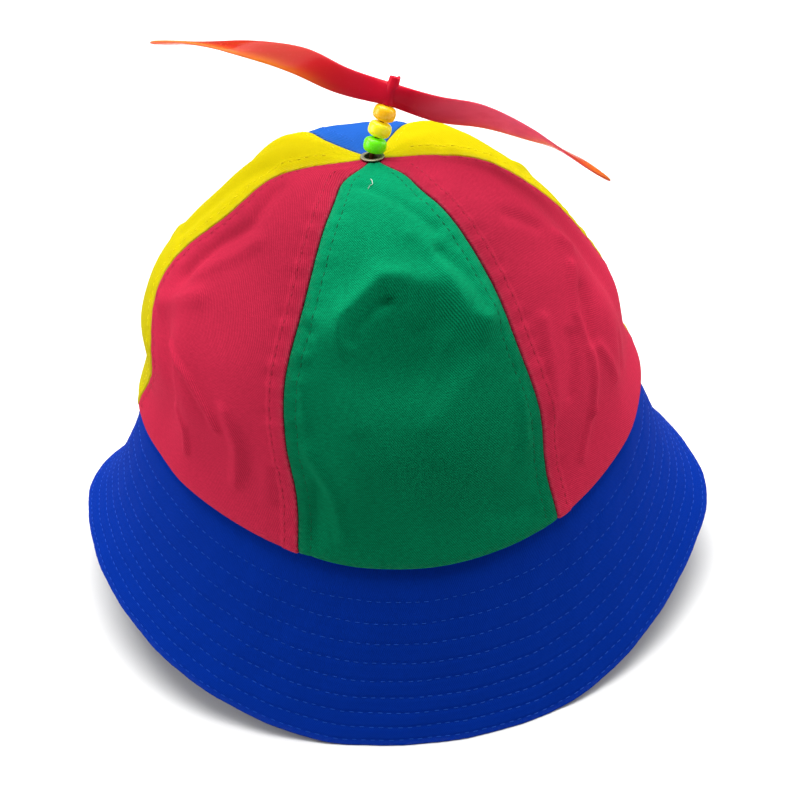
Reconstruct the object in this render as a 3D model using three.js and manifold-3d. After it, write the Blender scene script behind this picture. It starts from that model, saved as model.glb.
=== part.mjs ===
// A six-panel cotton bucket hat with a stitched brim and a propeller that spins on a leaning stem.
// Millimetres. +Z is up, -Y is the front, and the brim stands on z = 0 below the middle of the hat.
// Angles round the hat start at the front and turn towards +X.

import * as THREE from "three";
import { mergeVertices } from "three/addons/utils/BufferGeometryUtils.js";
import Module from "manifold-3d";

const manifoldLibrary = await Module();
manifoldLibrary.setup();

// Crown
const headGirth = 580; // round the outside of the join between crown and brim
const joinHeight = 66; // mean height of the join above the ground
const joinTilt = 2.5; // the join is this much higher in front than its mean, and lower behind
const joinSaddle = 11.2; // the join dips by this in front and behind, and rises by it at the sides
const crownHeight = 97.1; // from the mean height of the join to the top
const crownWall = 1.6;
const crownDrift = 3.8; // how far the worn crown leans to its right side, -X, at most
const puffHeight = 3; // how far a panel domes out between its seams
const foldDepth = 3; // the deepest soft dent in a panel
const seamGap = 0.3; // between two panels, and between the crown and the brim

// Brim
const brimWall = 2.2; // level thickness of the stitched layers
const brimFlare = 26; // mean level reach of the brim outside the join
const brimForward = 2.9; // the flare is this much less in front, and more behind
const brimHollow = 7.2; // how far the slope of the brim sags below a straight line
const sideLift = 25.5; // how far the sides of the rim are turned up off the ground
const restingShare = 0.3; // sine of the half angle over which the rim lies flat on the ground
const liftPower = 1.5; // how soon the rim leaves the ground outside that angle
const cornerReach = 2; // how far each side corner of the rim points out
const joinStep = 0.8; // the crown's hem stands out this far over the top of the brim

// Eyelet
const eyeletBore = 2.8;
const eyeletWall = 0.4;
const eyeletFlange = 4.2; // outer radius of both rolled ends
const eyeletRoll = 0.6; // height of a rolled end
const eyeletFade = 14; // the panels lie flat under the flange and puff up over this length
const clearance = 0.3; // between two pieces that touch or turn

// Stem, beads and propeller
const stemRadius = 0.8;
const stemShift = -0.5; // where the stem crosses the eyelet, along X from its centre
const stemLeanSide = 21.2; // degrees towards +X
const stemLeanBack = 10.4; // degrees towards +Y
const discRadius = 6;
const discHeight = 1.2;
const beadRadius = 4;
const beadHeight = 5.4;
const beadBore = 1.4;
const beadRoundness = 2.6; // exponent of the barrel shape
const beadEnd = 0.96; // the barrel is cut off level at this share of its height
const propellerTurn = -8.5; // degrees about the stem, from the +X side
const bladeLength = 81.7; // from the middle of the hub to a tip
const bladeChord = 11.4; // widest part of a blade
const bladeWall = 1.3;
const bladeDroop = 6.5; // how far a tip hangs below the hub
const bladeSweep = 1.5; // how far a tip lies behind the line of the blades
const hubRadius = 2.3;
const hubMargin = 0.3; // the hub's foot and shoulder stand out this far past the blades' edges
const bossRadius = 1.9;
const bossHeight = 2.5; // small boss on the shoulder
const hubRoof = 1.6; // plastic over the blind bore

// Fineness of the faceted solids
const panelColumns = 10;
const panelRows = 16;
const brimSteps = 72;
const brimRows = 5;
const roundSides = 14;
const bladeStations = 13;
const bladeSides = 10;

// Rings up the crown. along: share of the way from the join to the eyelet. reach: share of the join's
// radius. rise: share of the crown's height. drift: share of the lean. puff: share of the puff height.
const crownRings = [
  { along: 0, reach: 1, rise: 0, drift: 0, puff: 0 },
  { along: 0.135, reach: 0.945, rise: 0.2, drift: 0.25, puff: 0.35 },
  { along: 0.264, reach: 0.922, rise: 0.38, drift: 0.6, puff: 0.5 },
  { along: 0.403, reach: 0.828, rise: 0.57, drift: 0.97, puff: 0.6 },
  { along: 0.549, reach: 0.673, rise: 0.75, drift: 0.66, puff: 0.7 },
  { along: 0.724, reach: 0.434, rise: 0.935, drift: 0.78, puff: 0.9 },
  { along: 0.866, reach: 0.234, rise: 0.983, drift: 1, puff: 1 },
  { along: 1, reach: 0, rise: 1, drift: 0.58, puff: 0 },
];

// Panels from the front towards +X, named by colour and by the wearer's side. wander: degrees that the
// seam after the panel strays at the join.
const panels = [
  { name: "crown_panel_green_front", wander: -1.8, color: 0x0c7f55 },
  { name: "crown_panel_red_left", wander: 0, color: 0xc42c48 },
  { name: "crown_panel_yellow_left", wander: 0, color: 0xf0e405 },
  { name: "crown_panel_blue_back", wander: 0, color: 0x1a4fc4 },
  { name: "crown_panel_yellow_right", wander: 1, color: 0xf0e405 },
  { name: "crown_panel_red_right", wander: 2.2, color: 0xc42c48 },
];

// Soft dents (depth below 0) and folds (above 0) of the panels. across: share of the half panel.
// along: share of the way up. wide, long: spread, as shares of the half panel and of the way up.
// slant: how far the fold runs across for its way up. depth: share of the fold depth.
const folds = [
  { panel: "green_front", across: 0.05, along: 0.46, wide: 0.45, long: 0.13, slant: 0, depth: -1 },
  { panel: "green_front", across: 0.1, along: 0.68, wide: 0.5, long: 0.08, slant: 0, depth: 0.35 },
  { panel: "green_front", across: -0.55, along: 0.2, wide: 0.2, long: 0.2, slant: 0.2, depth: 0.4 },
  { panel: "red_left", across: 0, along: 0.35, wide: 0.2, long: 0.25, slant: 0.3, depth: 0.6 },
  { panel: "red_left", across: 0.45, along: 0.4, wide: 0.18, long: 0.22, slant: 0.2, depth: -0.6 },
  { panel: "red_left", across: -0.2, along: 0.74, wide: 0.5, long: 0.07, slant: 0.5, depth: -0.4 },
  { panel: "yellow_left", across: 0.1, along: 0.5, wide: 0.3, long: 0.25, slant: 0, depth: -0.5 },
  { panel: "blue_back", across: -0.1, along: 0.4, wide: 0.4, long: 0.18, slant: 0.2, depth: -0.6 },
  { panel: "yellow_right", across: -0.1, along: 0.55, wide: 0.25, long: 0.3, slant: -0.3, depth: -0.5 },
  { panel: "red_right", across: -0.15, along: 0.25, wide: 0.2, long: 0.22, slant: -0.3, depth: 0.6 },
  { panel: "red_right", across: -0.5, along: 0.3, wide: 0.2, long: 0.2, slant: -0.3, depth: -0.6 },
  { panel: "red_right", across: -0.25, along: 0.62, wide: 0.5, long: 0.07, slant: 0.6, depth: -0.5 },
];

// Side corners of the rim: angle in degrees and spread in degrees.
const rimCorners = [
  { angle: 75, spread: 14 },
  { angle: -104, spread: 14 },
];

// Beads on the stem from the eyelet upwards. tilt: degrees that a loose bead leans on the stem.
const beads = [
  { name: "bead_green", tilt: -5, color: 0x58d112 },
  { name: "bead_yellow", tilt: 2, color: 0xe9dc1e },
  { name: "bead_orange", tilt: 3, color: 0xfdbd1a },
];

// Stations along a blade. out: share of its length. chord: share of the widest chord. twist: degrees
// of the chord from level. rise, sweep: shares of the droop and of the sweep.
const bladeSections = [
  { out: 0, chord: 0.58, twist: 98, rise: 0, sweep: 0 },
  { out: 0.2, chord: 0.81, twist: 103, rise: -0.03, sweep: 0.15 },
  { out: 0.4, chord: 1, twist: 131, rise: 0.28, sweep: -0.05 },
  { out: 0.6, chord: 0.84, twist: 147, rise: 0.12, sweep: -0.05 },
  { out: 0.72, chord: 0.87, twist: 169, rise: -0.11, sweep: 0.4 },
  { out: 0.85, chord: 0.68, twist: 186, rise: -0.47, sweep: 0.8 },
  { out: 1, chord: 0.07, twist: 205, rise: -1, sweep: 1 },
];

const degree = Math.PI / 180;
const joinRadius = headGirth / (2 * Math.PI);
const halfPanel = Math.PI / panels.length;
const crownTop = joinHeight + crownHeight;
const clothHole = eyeletBore + eyeletWall + clearance;
const topRing = crownRings[crownRings.length - 1];

// A smooth curve through one column of a table: cubic pieces whose slope at a row is the weighted
// mean of the slopes on its two sides.
function smoothColumn(rows, place, column) {
  const x = rows.map((row) => row[place]);
  const y = rows.map((row) => row[column]);
  const width = x.slice(1).map((value, i) => value - x[i]);
  const slope = width.map((value, i) => (y[i + 1] - y[i]) / value);
  const tangent = x.map((value, i) => {
    if (i === 0) return slope[0];
    if (i === x.length - 1) return slope[i - 1];
    return (slope[i - 1] * width[i] + slope[i] * width[i - 1]) / (width[i - 1] + width[i]);
  });
  return (t) => {
    let i = 0;
    while (i < width.length - 1 && t > x[i + 1]) i += 1;
    const u = (t - x[i]) / width[i];
    const rest = 1 - u;
    return (
      y[i] * (1 + 2 * u) * rest * rest +
      tangent[i] * width[i] * u * rest * rest +
      y[i + 1] * u * u * (3 - 2 * u) -
      tangent[i + 1] * width[i] * u * u * rest
    );
  };
}

const smoothStep = (value) => {
  const share = Math.min(Math.max(value, 0), 1);
  return share * share * (3 - 2 * share);
};

const ringReach = smoothColumn(crownRings, "along", "reach");
const ringRise = smoothColumn(crownRings, "along", "rise");
const ringDrift = smoothColumn(crownRings, "along", "drift");
const ringPuff = smoothColumn(crownRings, "along", "puff");

const joinLevel = (angle) => joinTilt * Math.cos(angle) - joinSaddle * Math.cos(2 * angle);

// Radius of the crown at a share of the way up, which ends at the hole for the eyelet.
function crownRadius(along) {
  const reach = ringReach(along);
  return joinRadius * reach + clothHole * along ** 8 * (1 - reach);
}

// The crown's seamed outer surface, before its panels puff out.
function crownBase(angle, along) {
  const radius = crownRadius(along);
  const rise = ringRise(along);
  return new THREE.Vector3(
    radius * Math.sin(angle) - crownDrift * ringDrift(along),
    -radius * Math.cos(angle),
    joinHeight + crownHeight * rise + joinLevel(angle) * (1 - rise),
  );
}

// Outward direction of that surface, turned level close to the join so that the hem is square.
function crownNormal(angle, along) {
  const step = 0.001;
  const round = crownBase(angle + step, along).sub(crownBase(angle - step, along));
  const up = crownBase(angle, Math.min(along + step, 1)).sub(crownBase(angle, Math.max(along - step, 0)));
  const normal = round.cross(up);
  normal.z *= smoothStep(along / crownRings[1].along);
  return normal.normalize();
}

// Height of a panel's cloth over the seamed surface: its puff and its soft folds, both flat at the
// seams and under the eyelet's flange. across runs from -1 to 1 between the seams.
function panelRelief(panel, across, along) {
  const dome = 1 - across * across;
  let fold = 0;
  for (const row of folds.filter((candidate) => panel.name.endsWith(candidate.panel))) {
    const rise = along - row.along;
    const side = (across - row.across - row.slant * rise) / row.wide;
    fold += row.depth * Math.exp(-side * side - (rise / row.long) ** 2);
  }
  const clamp = smoothStep((crownRadius(along) - eyeletFlange) / eyeletFade);
  return clamp * dome * (puffHeight * ringPuff(along) + foldDepth * fold);
}

// One closed body between an outer and an inner sheet of points. Both are functions of u and v from
// 0 to 1. A sheet that closes round on itself in u makes a ring.
function shellBody(outer, inner, columns, rows, closesRound) {
  const positions = [];
  const indices = [];
  const across = closesRound ? columns : columns + 1;
  for (const sheet of [outer, inner]) {
    for (let row = 0; row <= rows; row += 1) {
      for (let column = 0; column < across; column += 1) {
        positions.push(...sheet(column / columns, row / rows).toArray());
      }
    }
  }
  const sheetSize = across * (rows + 1);
  const at = (sheet, row, column) => sheet * sheetSize + row * across + (column % across);
  const quad = (a, b, c, d) => indices.push(a, b, c, a, c, d);
  for (let row = 0; row < rows; row += 1) {
    for (let column = 0; column < columns; column += 1) {
      const next = column + 1;
      quad(at(0, row, column), at(0, row, next), at(0, row + 1, next), at(0, row + 1, column));
      quad(at(1, row, column), at(1, row + 1, column), at(1, row + 1, next), at(1, row, next));
    }
  }
  for (let column = 0; column < columns; column += 1) {
    const next = column + 1;
    quad(at(0, 0, column), at(1, 0, column), at(1, 0, next), at(0, 0, next));
    quad(at(0, rows, column), at(0, rows, next), at(1, rows, next), at(1, rows, column));
  }
  if (!closesRound) {
    for (let row = 0; row < rows; row += 1) {
      quad(at(0, row, 0), at(0, row + 1, 0), at(1, row + 1, 0), at(1, row, 0));
      quad(at(0, row, columns), at(1, row, columns), at(1, row + 1, columns), at(0, row + 1, columns));
    }
  }
  return closedGeometry(positions, indices);
}

// A geometry with shared corners, no flat triangles and its faces pointing out.
function closedGeometry(positions, indices) {
  const raw = new THREE.BufferGeometry();
  raw.setAttribute("position", new THREE.Float32BufferAttribute(positions, 3));
  raw.setIndex(indices);
  const merged = mergeVertices(raw, 0.0001);
  const place = merged.getAttribute("position");
  const corner = (i) => new THREE.Vector3().fromBufferAttribute(place, i);
  const kept = [];
  let volume = 0;
  for (let i = 0; i < merged.index.count; i += 3) {
    const [a, b, c] = [0, 1, 2].map((k) => merged.index.getX(i + k));
    if (a !== b && b !== c && c !== a) {
      kept.push(a, b, c);
      volume += corner(a).dot(corner(b).cross(corner(c)));
    }
  }
  if (volume < 0) {
    for (let i = 0; i < kept.length; i += 3) {
      [kept[i + 1], kept[i + 2]] = [kept[i + 2], kept[i + 1]];
    }
  }
  merged.setIndex(kept);
  merged.computeVertexNormals();
  return merged;
}

// The same for a geometry that three.js made, with its texture and normal attributes dropped.
function closed(geometry) {
  return closedGeometry([...geometry.getAttribute("position").array], [...geometry.index.array]);
}

// A profile of (radius, height) points turned about +Z.
function turned(points, sides) {
  const profile = points.map(([radius, height]) => new THREE.Vector2(radius, height));
  const geometry = new THREE.LatheGeometry(profile, sides);
  geometry.rotateX(Math.PI / 2);
  return closed(geometry);
}

// A rod about +Z from one height to another.
function rod(radius, low, high, sides) {
  const geometry = new THREE.CylinderGeometry(radius, radius, high - low, sides);
  geometry.rotateX(Math.PI / 2);
  geometry.translate(0, 0, (low + high) / 2);
  return closed(geometry);
}

function toSolid(geometry) {
  const vertProperties = new Float32Array(geometry.getAttribute("position").array);
  const triVerts = new Uint32Array(geometry.index.array);
  const mesh = new manifoldLibrary.Mesh({ numProp: 3, vertProperties, triVerts });
  return new manifoldLibrary.Manifold(mesh);
}

function fromSolid(solid) {
  const mesh = solid.getMesh();
  return closedGeometry([...mesh.vertProperties], [...mesh.triVerts]);
}

function finish(color, roughness, metalness = 0) {
  return new THREE.MeshStandardMaterial({ color, roughness, metalness });
}

function named(name, geometry, material) {
  const mesh = new THREE.Mesh(geometry, material);
  mesh.name = name;
  return mesh;
}

// Angle of the seam after a panel: straight up the crown, but straying close to the join.
function seamAngle(place, along) {
  const stray = 1 - smoothStep(along / crownRings[3].along);
  const count = panels.length;
  return halfPanel * (2 * place + 1) + panels[(place + count) % count].wander * degree * stray;
}

// One sewn panel of the crown, from half a gap inside one seam to half a gap inside the next.
function crownPanel(panel, place) {
  const sheet = (depth) => (u, v) => {
    const gap = Math.asin(seamGap / 2 / crownRadius(v));
    const angle = THREE.MathUtils.lerp(seamAngle(place - 1, v) + gap, seamAngle(place, v) - gap, u);
    const relief = panelRelief(panel, 2 * u - 1, v);
    const point = crownBase(angle, v).addScaledVector(crownNormal(angle, v), relief - depth);
    point.z += (seamGap / 2) * (1 - v);
    return point;
  };
  const geometry = shellBody(sheet(0), sheet(crownWall), panelColumns, panelRows, false);
  return named(panel.name, geometry, finish(panel.color, 0.85));
}

// Level reach of the brim outside the join, and height of the rim off the ground.
function brimReach(angle) {
  return brimFlare - brimForward * Math.cos(angle);
}

function rimLift(angle) {
  const off = Math.max(Math.abs(Math.sin(angle)) - restingShare, 0) / (1 - restingShare);
  return sideLift * off ** liftPower;
}

function rimCorner(angle) {
  let share = 0;
  for (const row of rimCorners) {
    const away = angle - row.angle * degree;
    const turn = Math.atan2(Math.sin(away), Math.cos(away)) / (row.spread * degree);
    share += Math.exp(-turn * turn);
  }
  return cornerReach * share;
}

// The brim's outer surface, moved level towards the head by a depth. out runs from the join to the rim.
function brimPoint(angle, out, depth) {
  const reach = brimReach(angle) + rimCorner(angle) * out * out;
  const radius = joinRadius - joinStep * (1 - out) + reach * out - depth;
  const level = (joinHeight + joinLevel(angle) - seamGap / 2) * (1 - out);
  return new THREE.Vector3(
    radius * Math.sin(angle),
    -radius * Math.cos(angle),
    level - brimHollow * 4 * out * (1 - out) + rimLift(angle) * out,
  );
}

function brim() {
  const sheet = (depth) => (u, v) => brimPoint(2 * Math.PI * u, v, depth);
  const geometry = shellBody(sheet(0), sheet(brimWall), brimSteps, brimRows, true);
  return named("brim", geometry, finish(0x0a3ca0, 0.85));
}

// The middle of the eyelet, on the crown's outer surface.
const eyeletCentre = new THREE.Vector3(-crownDrift * topRing.drift, 0, crownTop);

// A barrel through the cloth with a rolled flange above and below it.
function eyelet() {
  const high = eyeletTop;
  const low = -crownWall - clearance - eyeletRoll;
  const barrel = eyeletBore + eyeletWall;
  const soft = eyeletRoll / 3;
  const profile = [
    [eyeletBore, low + soft],
    [eyeletBore + soft, low],
    [eyeletFlange - soft, low],
    [eyeletFlange, low + soft],
    [eyeletFlange, low + eyeletRoll],
    [barrel, low + eyeletRoll],
    [barrel, high - eyeletRoll],
    [eyeletFlange, high - eyeletRoll],
    [eyeletFlange, high - soft],
    [eyeletFlange - soft, high],
    [eyeletBore + soft, high],
    [eyeletBore, high - soft],
    [eyeletBore, low + soft],
  ];
  const mesh = named("eyelet", turned(profile, 2 * roundSides), finish(0xb5a98a, 0.35, 0.9));
  mesh.position.copy(eyeletCentre);
  return mesh;
}

// The stem's own frame: +Z runs up along the stem from where it crosses the top of the cloth.
function stemPlacement() {
  const lean = [stemLeanSide, stemLeanBack].map((angle) => Math.tan(angle * degree));
  const up = new THREE.Vector3(...lean, 1).normalize();
  const side = new THREE.Vector3(1, 0, 0).addScaledVector(up, -up.x).normalize();
  const back = new THREE.Vector3().crossVectors(up, side);
  const foot = eyeletCentre.clone().add(new THREE.Vector3(stemShift, 0, 0));
  return new THREE.Matrix4().makeBasis(side, back, up).setPosition(foot);
}

const stemFrame = stemPlacement();
const stemLean = Math.acos(stemFrame.elements[10]);

const barrelHalf = beadHeight / 2 / beadEnd;

// How far a tilted bead reaches below its centre: the support distance of its barrel shape.
function beadSupport(tilt) {
  const dual = beadRoundness / (beadRoundness - 1);
  const side = (beadRadius * Math.sin(tilt)) ** dual;
  const end = (barrelHalf * Math.cos(tilt)) ** dual;
  return (side + end) ** (1 / dual);
}

// Heights along the stem: the lowest bead just clears the eyelet, and each piece stands on the last.
const eyeletTop = clearance + eyeletRoll;
const firstTilt = stemLean + beads[0].tilt * degree;
const firstBead = (eyeletTop + clearance + beadSupport(firstTilt)) / Math.cos(stemLean);
const beadPitch = beadHeight + clearance;
const hubReach = (bladeChord * bladeSections[0].chord) / 2 + hubMargin;
const hubFoot = firstBead + (beads.length - 0.5) * beadPitch + clearance / 2;
const propellerHeight = hubFoot + hubReach;
const boreTop = propellerHeight + hubReach + bossHeight - hubRoof;

// The stem with the disc that holds it under the crown, one piece.
function stem() {
  const discTop = -crownWall - eyeletRoll - 2 * clearance;
  const shaft = rod(stemRadius, discTop - discHeight / 2, boreTop - clearance, roundSides);
  shaft.applyMatrix4(stemFrame);
  const disc = rod(discRadius, discTop - discHeight, discTop, 2 * roundSides);
  disc.translate(eyeletCentre.x + stemShift, eyeletCentre.y, eyeletCentre.z);
  return named("stem", fromSolid(toSolid(disc).add(toSolid(shaft))), finish(0x8a4a2a, 0.4, 0.6));
}

// A barrel-shaped bead with a straight bore, centred on its own origin.
function bead(row, place) {
  const bend = (share) => beadRadius * (1 - Math.abs(share) ** beadRoundness) ** (1 / beadRoundness);
  const shares = [-1, -0.9, -0.68, -0.34, 0, 0.34, 0.68, 0.9, 1].map((share) => share * beadEnd);
  const profile = shares.map((share) => [bend(share), barrelHalf * share]);
  const ends = beadHeight / 2;
  profile.unshift([beadBore, -ends]);
  profile.push([beadBore, ends], [beadBore, -ends]);
  const mesh = named(row.name, turned(profile, roundSides), finish(row.color, 0.25));
  mesh.position.set(0, 0, firstBead + place * beadPitch);
  mesh.rotation.set(0, row.tilt * degree, 0);
  return mesh;
}

const bladeColumns = ["chord", "twist", "rise", "sweep"];
const bladeCurve = Object.fromEntries(
  bladeColumns.map((column) => [column, smoothColumn(bladeSections, "out", column)]),
);

// One twisted blade from the middle of the hub towards +X, an oval section carried along a line.
function blade() {
  const positions = [];
  const indices = [];
  for (let station = 0; station < bladeStations; station += 1) {
    const out = station / (bladeStations - 1);
    const twist = bladeCurve.twist(out) * degree;
    const chord = (bladeChord * bladeCurve.chord(out)) / 2;
    const wall = Math.min(bladeWall / 2, chord * 0.8);
    for (let side = 0; side < bladeSides; side += 1) {
      const turn = (2 * Math.PI * side) / bladeSides;
      const along = chord * Math.cos(turn);
      const thick = wall * Math.sin(turn);
      positions.push(
        bladeLength * out,
        bladeSweep * bladeCurve.sweep(out) + along * Math.cos(twist) - thick * Math.sin(twist),
        bladeDroop * bladeCurve.rise(out) + along * Math.sin(twist) + thick * Math.cos(twist),
      );
    }
  }
  for (let station = 0; station < bladeStations - 1; station += 1) {
    for (let side = 0; side < bladeSides; side += 1) {
      const next = (side + 1) % bladeSides;
      const a = station * bladeSides + side;
      const b = station * bladeSides + next;
      indices.push(a, b, b + bladeSides, a, b + bladeSides, a + bladeSides);
    }
  }
  const last = (bladeStations - 1) * bladeSides;
  for (let side = 1; side < bladeSides - 1; side += 1) {
    indices.push(0, side + 1, side, last, last + side, last + side + 1);
  }
  return closedGeometry(positions, indices);
}

// The propeller about its own hub: two blades half a turn apart, and a hub with a blind bore.
function propeller() {
  const first = blade();
  const second = first.clone();
  second.rotateZ(Math.PI);
  const hub = rod(hubRadius, -hubReach, hubReach, roundSides);
  const boss = rod(bossRadius, 0, hubReach + bossHeight, roundSides);
  const bore = rod(stemRadius + clearance, -2 * hubReach, boreTop - propellerHeight, roundSides);
  let solid = toSolid(first).add(toSolid(second));
  solid = solid.add(toSolid(hub)).add(toSolid(boss)).subtract(toSolid(bore));
  const mesh = named("propeller", fromSolid(solid), finish(0xc41f30, 0.2));
  mesh.position.set(0, 0, propellerHeight);
  mesh.rotation.set(0, 0, propellerTurn * degree);
  return mesh;
}

// Everything that is threaded on the stem stands in the stem's own frame.
function threadedPieces() {
  const group = new THREE.Group();
  stemFrame.decompose(group.position, group.quaternion, group.scale);
  group.add(...beads.map(bead), propeller());
  return group;
}

const hat = new THREE.Group();
hat.add(...panels.map(crownPanel), brim(), eyelet(), stem(), threadedPieces());
hat.updateMatrixWorld(true);

// The hat stands with the middle of its outline over the origin.
const middle = new THREE.Box3().setFromObject(hat, true).getCenter(new THREE.Vector3());
hat.position.set(-middle.x, -middle.y, 0);
hat.updateMatrixWorld(true);

export default hat;
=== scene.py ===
"""A six-panel cotton bucket hat with a stitched brim and a toy propeller on a beaded stem.

Tables and shape functions are in millimetres and meshes in metres. +Z is up and -Y is the front.
Angles round the hat start at the front and turn towards +X.
"""

import math

import bpy
import numpy as np
from mathutils import Matrix, Vector


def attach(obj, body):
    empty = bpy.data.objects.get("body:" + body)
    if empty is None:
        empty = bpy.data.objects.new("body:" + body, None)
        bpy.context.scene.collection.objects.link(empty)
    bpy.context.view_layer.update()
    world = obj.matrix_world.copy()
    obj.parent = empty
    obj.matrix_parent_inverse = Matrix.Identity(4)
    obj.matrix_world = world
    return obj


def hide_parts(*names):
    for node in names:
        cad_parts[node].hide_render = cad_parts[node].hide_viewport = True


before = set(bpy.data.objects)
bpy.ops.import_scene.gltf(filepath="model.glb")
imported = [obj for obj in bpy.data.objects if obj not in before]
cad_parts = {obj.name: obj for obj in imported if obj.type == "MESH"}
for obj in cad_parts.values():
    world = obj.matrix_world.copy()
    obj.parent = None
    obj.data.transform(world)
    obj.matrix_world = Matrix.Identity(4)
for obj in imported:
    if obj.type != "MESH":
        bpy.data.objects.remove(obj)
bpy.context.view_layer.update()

bl_info = {
    "name": "Propeller Bucket Hat",
    "version": (1, 0, 0),
    "blender": (4, 5, 0),
    "location": "View3D > Sidebar > Hat",
    "description": "Cotton bucket hat with coloured panels, beads and a spinning propeller",
    "category": "Add Mesh",
}

MM = 0.001
SEED = 11
WHITE = (1, 1, 1)
NEAR_AXIS = 0.01  # where the profile of a full body begins and ends

# Crown
JOIN_RADIUS = 580 / (2 * math.pi)
JOIN_HEIGHT = 66.0
JOIN_TILT = 2.5
JOIN_SADDLE = 11.2
CROWN_HEIGHT = 97.1
CROWN_WALL = 1.6
CROWN_DRIFT = 3.8
PUFF_HEIGHT = 3.0
FOLD_DEPTH = 3.0
CLEARANCE = 0.3
PANEL_GAP = 0.12
SEAM_ROLL = 0.6
HEM_ROLL = 0.7
HEM_PUFF = 1.9
HEM_PUFF_LENGTH = 18.0
TOPSTITCH = 4.4  # from a seam to its row of stitches
TOPSTITCH_SHARES = (0.008, 0.93)
ALLOWANCE = 8.0  # from a seam to the cut edges inside
ALLOWANCE_WALL = 0.45
STITCH_DIP, STITCH_DIP_WIDTH = 0.2, 0.75
PUCKER_HEIGHT, PUCKER_WIDTH = 0.2, 3.2
RIPPLE_HEIGHT = 0.22
PANEL_COLUMNS, PANEL_ROWS = 120, 150

# Brim
BRIM_WALL = 2.2
BRIM_FLARE = 26.0
BRIM_FORWARD = 2.9
BRIM_HOLLOW = 7.2
SIDE_LIFT = 25.5
RESTING_SHARE = 0.3
LIFT_POWER = 1.5
JOIN_STEP = 0.8
BRIM_SLOPE = 64.0
BRIM_ROWS = [0.15, 0.25, 0.35, 0.45, 0.55, 0.65, 0.75, 0.85, 0.95]
ROW_DIP, ROW_DIP_BELOW, ROW_WIDTH = 0.3, 0.25, 0.85
BRIM_WAVE, BRIM_RIPPLE = 0.2, 0.07
BACK_SEAM_DIP, BACK_SEAM_DIP_BELOW, BACK_SEAM_WIDTH = 0.45, 0.35, 0.7
BACK_RADIUS = 95.0
HEM_GROOVE, HEM_GROOVE_WIDTH = 1.5, 2.4
FLANGE_SHARE = 0.05  # how far up inside the crown the sewn flange reaches
FLANGE_LENGTH = 7.0
FLANGE_DEPTHS = (1.75, 3.0)  # of its two faces under the crown's outside
BRIM_STEPS = 480
FAN_RADIUS, FAN_SHARE = 220.0, 0.42  # the flat ring sector that carries the brim's weave

# Eyelet
EYELET_BORE = 2.8
EYELET_WALL = 0.4
EYELET_FLANGE = 4.2
EYELET_ROLL = 0.6
EYELET_FADE = 14.0

# Stem, beads and propeller
STEM_RADIUS = 0.8
STEM_SHIFT = -0.5
STEM_LEAN = (21.2, 10.4)
DISC_RADIUS = 6.0
DISC_HEIGHT = 1.2
BEAD_RADIUS = 4.0
BEAD_HEIGHT = 5.4
BEAD_BORE = 1.4
BEAD_ROUNDNESS = 2.6
BEAD_END = 0.96
BEAD_SHAPE = 3.0
PROPELLER_TURN = -8.5
BLADE_LENGTH = 81.7
BLADE_CHORD = 11.4
BLADE_WALL = 1.3
BLADE_DROOP = 6.5
BLADE_SWEEP = 1.5
HUB_RADIUS = 2.3
HUB_MARGIN = 0.3
HUB_CHORD = 0.58
BOSS_RADIUS = 1.9
BOSS_HEIGHT = 2.5
HUB_ROOF = 1.6
STRAND_RADIUS, STRAND_SIDES = 0.1, 8

# Stage, in metres and degrees. Soft boxes: name, place, size and the setting of their power.
LIGHTS = [
    ("top_light", (0.0, 0.42, 1.6), 1.7, "top_light"),
    ("left_light", (-1.3, 0.15, 0.6), 0.8, "side_light"),
    ("right_light", (1.3, 0.15, 0.6), 0.8, "side_light"),
]
LIGHT_TARGET = (0, 0, 0.1)
SEEN_WORLD = 1.05  # strength of the world as the camera sees it
FLOOR_HALF = 0.95
CAMERA_TURN = (31.923, -7.239, -2.796)  # elevation, azimuth and roll
CAMERA_DISTANCE = 0.52
CAMERA_SHIFT = (0.01395, -0.04734)
CAMERA_HEIGHT = 0.08  # of the point that it is turned about
SENSOR = 36

# Cotton: its setting, tone of the valleys (painted shade in the twill), share of painted shade on
# the lower part (below 0 on the upper part), thread's tone.
CLOTHS = {
    "cotton_green": ("green", 0.3, 0.32, 0.3),
    "cotton_red": ("red", 0.52, -0.24, 0.6),
    "cotton_yellow": ("yellow", 0.86, 0, 1.5),
    "cotton_blue": ("blue", 0.66, 0, 1.3),
}

CROWN_RINGS = {
    "along": [0, 0.135, 0.264, 0.403, 0.549, 0.724, 0.866, 1],
    "reach": [1, 0.945, 0.922, 0.828, 0.673, 0.434, 0.234, 0],
    "rise": [0, 0.2, 0.38, 0.57, 0.75, 0.935, 0.983, 1],
    "drift": [0, 0.25, 0.6, 0.97, 0.66, 0.78, 1, 0.58],
    "puff": [0, 0.35, 0.5, 0.6, 0.7, 0.9, 1, 0],
}

# Panels from the front towards +X: name, material slot, degrees that the seam after it strays.
PANELS = [
    ("green_front", "cotton_green", -1.8),
    ("red_left", "cotton_red", 0),
    ("yellow_left", "cotton_yellow", 0),
    ("blue_back", "cotton_blue", 0),
    ("yellow_right", "cotton_yellow", 1),
    ("red_right", "cotton_red", 2.2),
]

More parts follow.
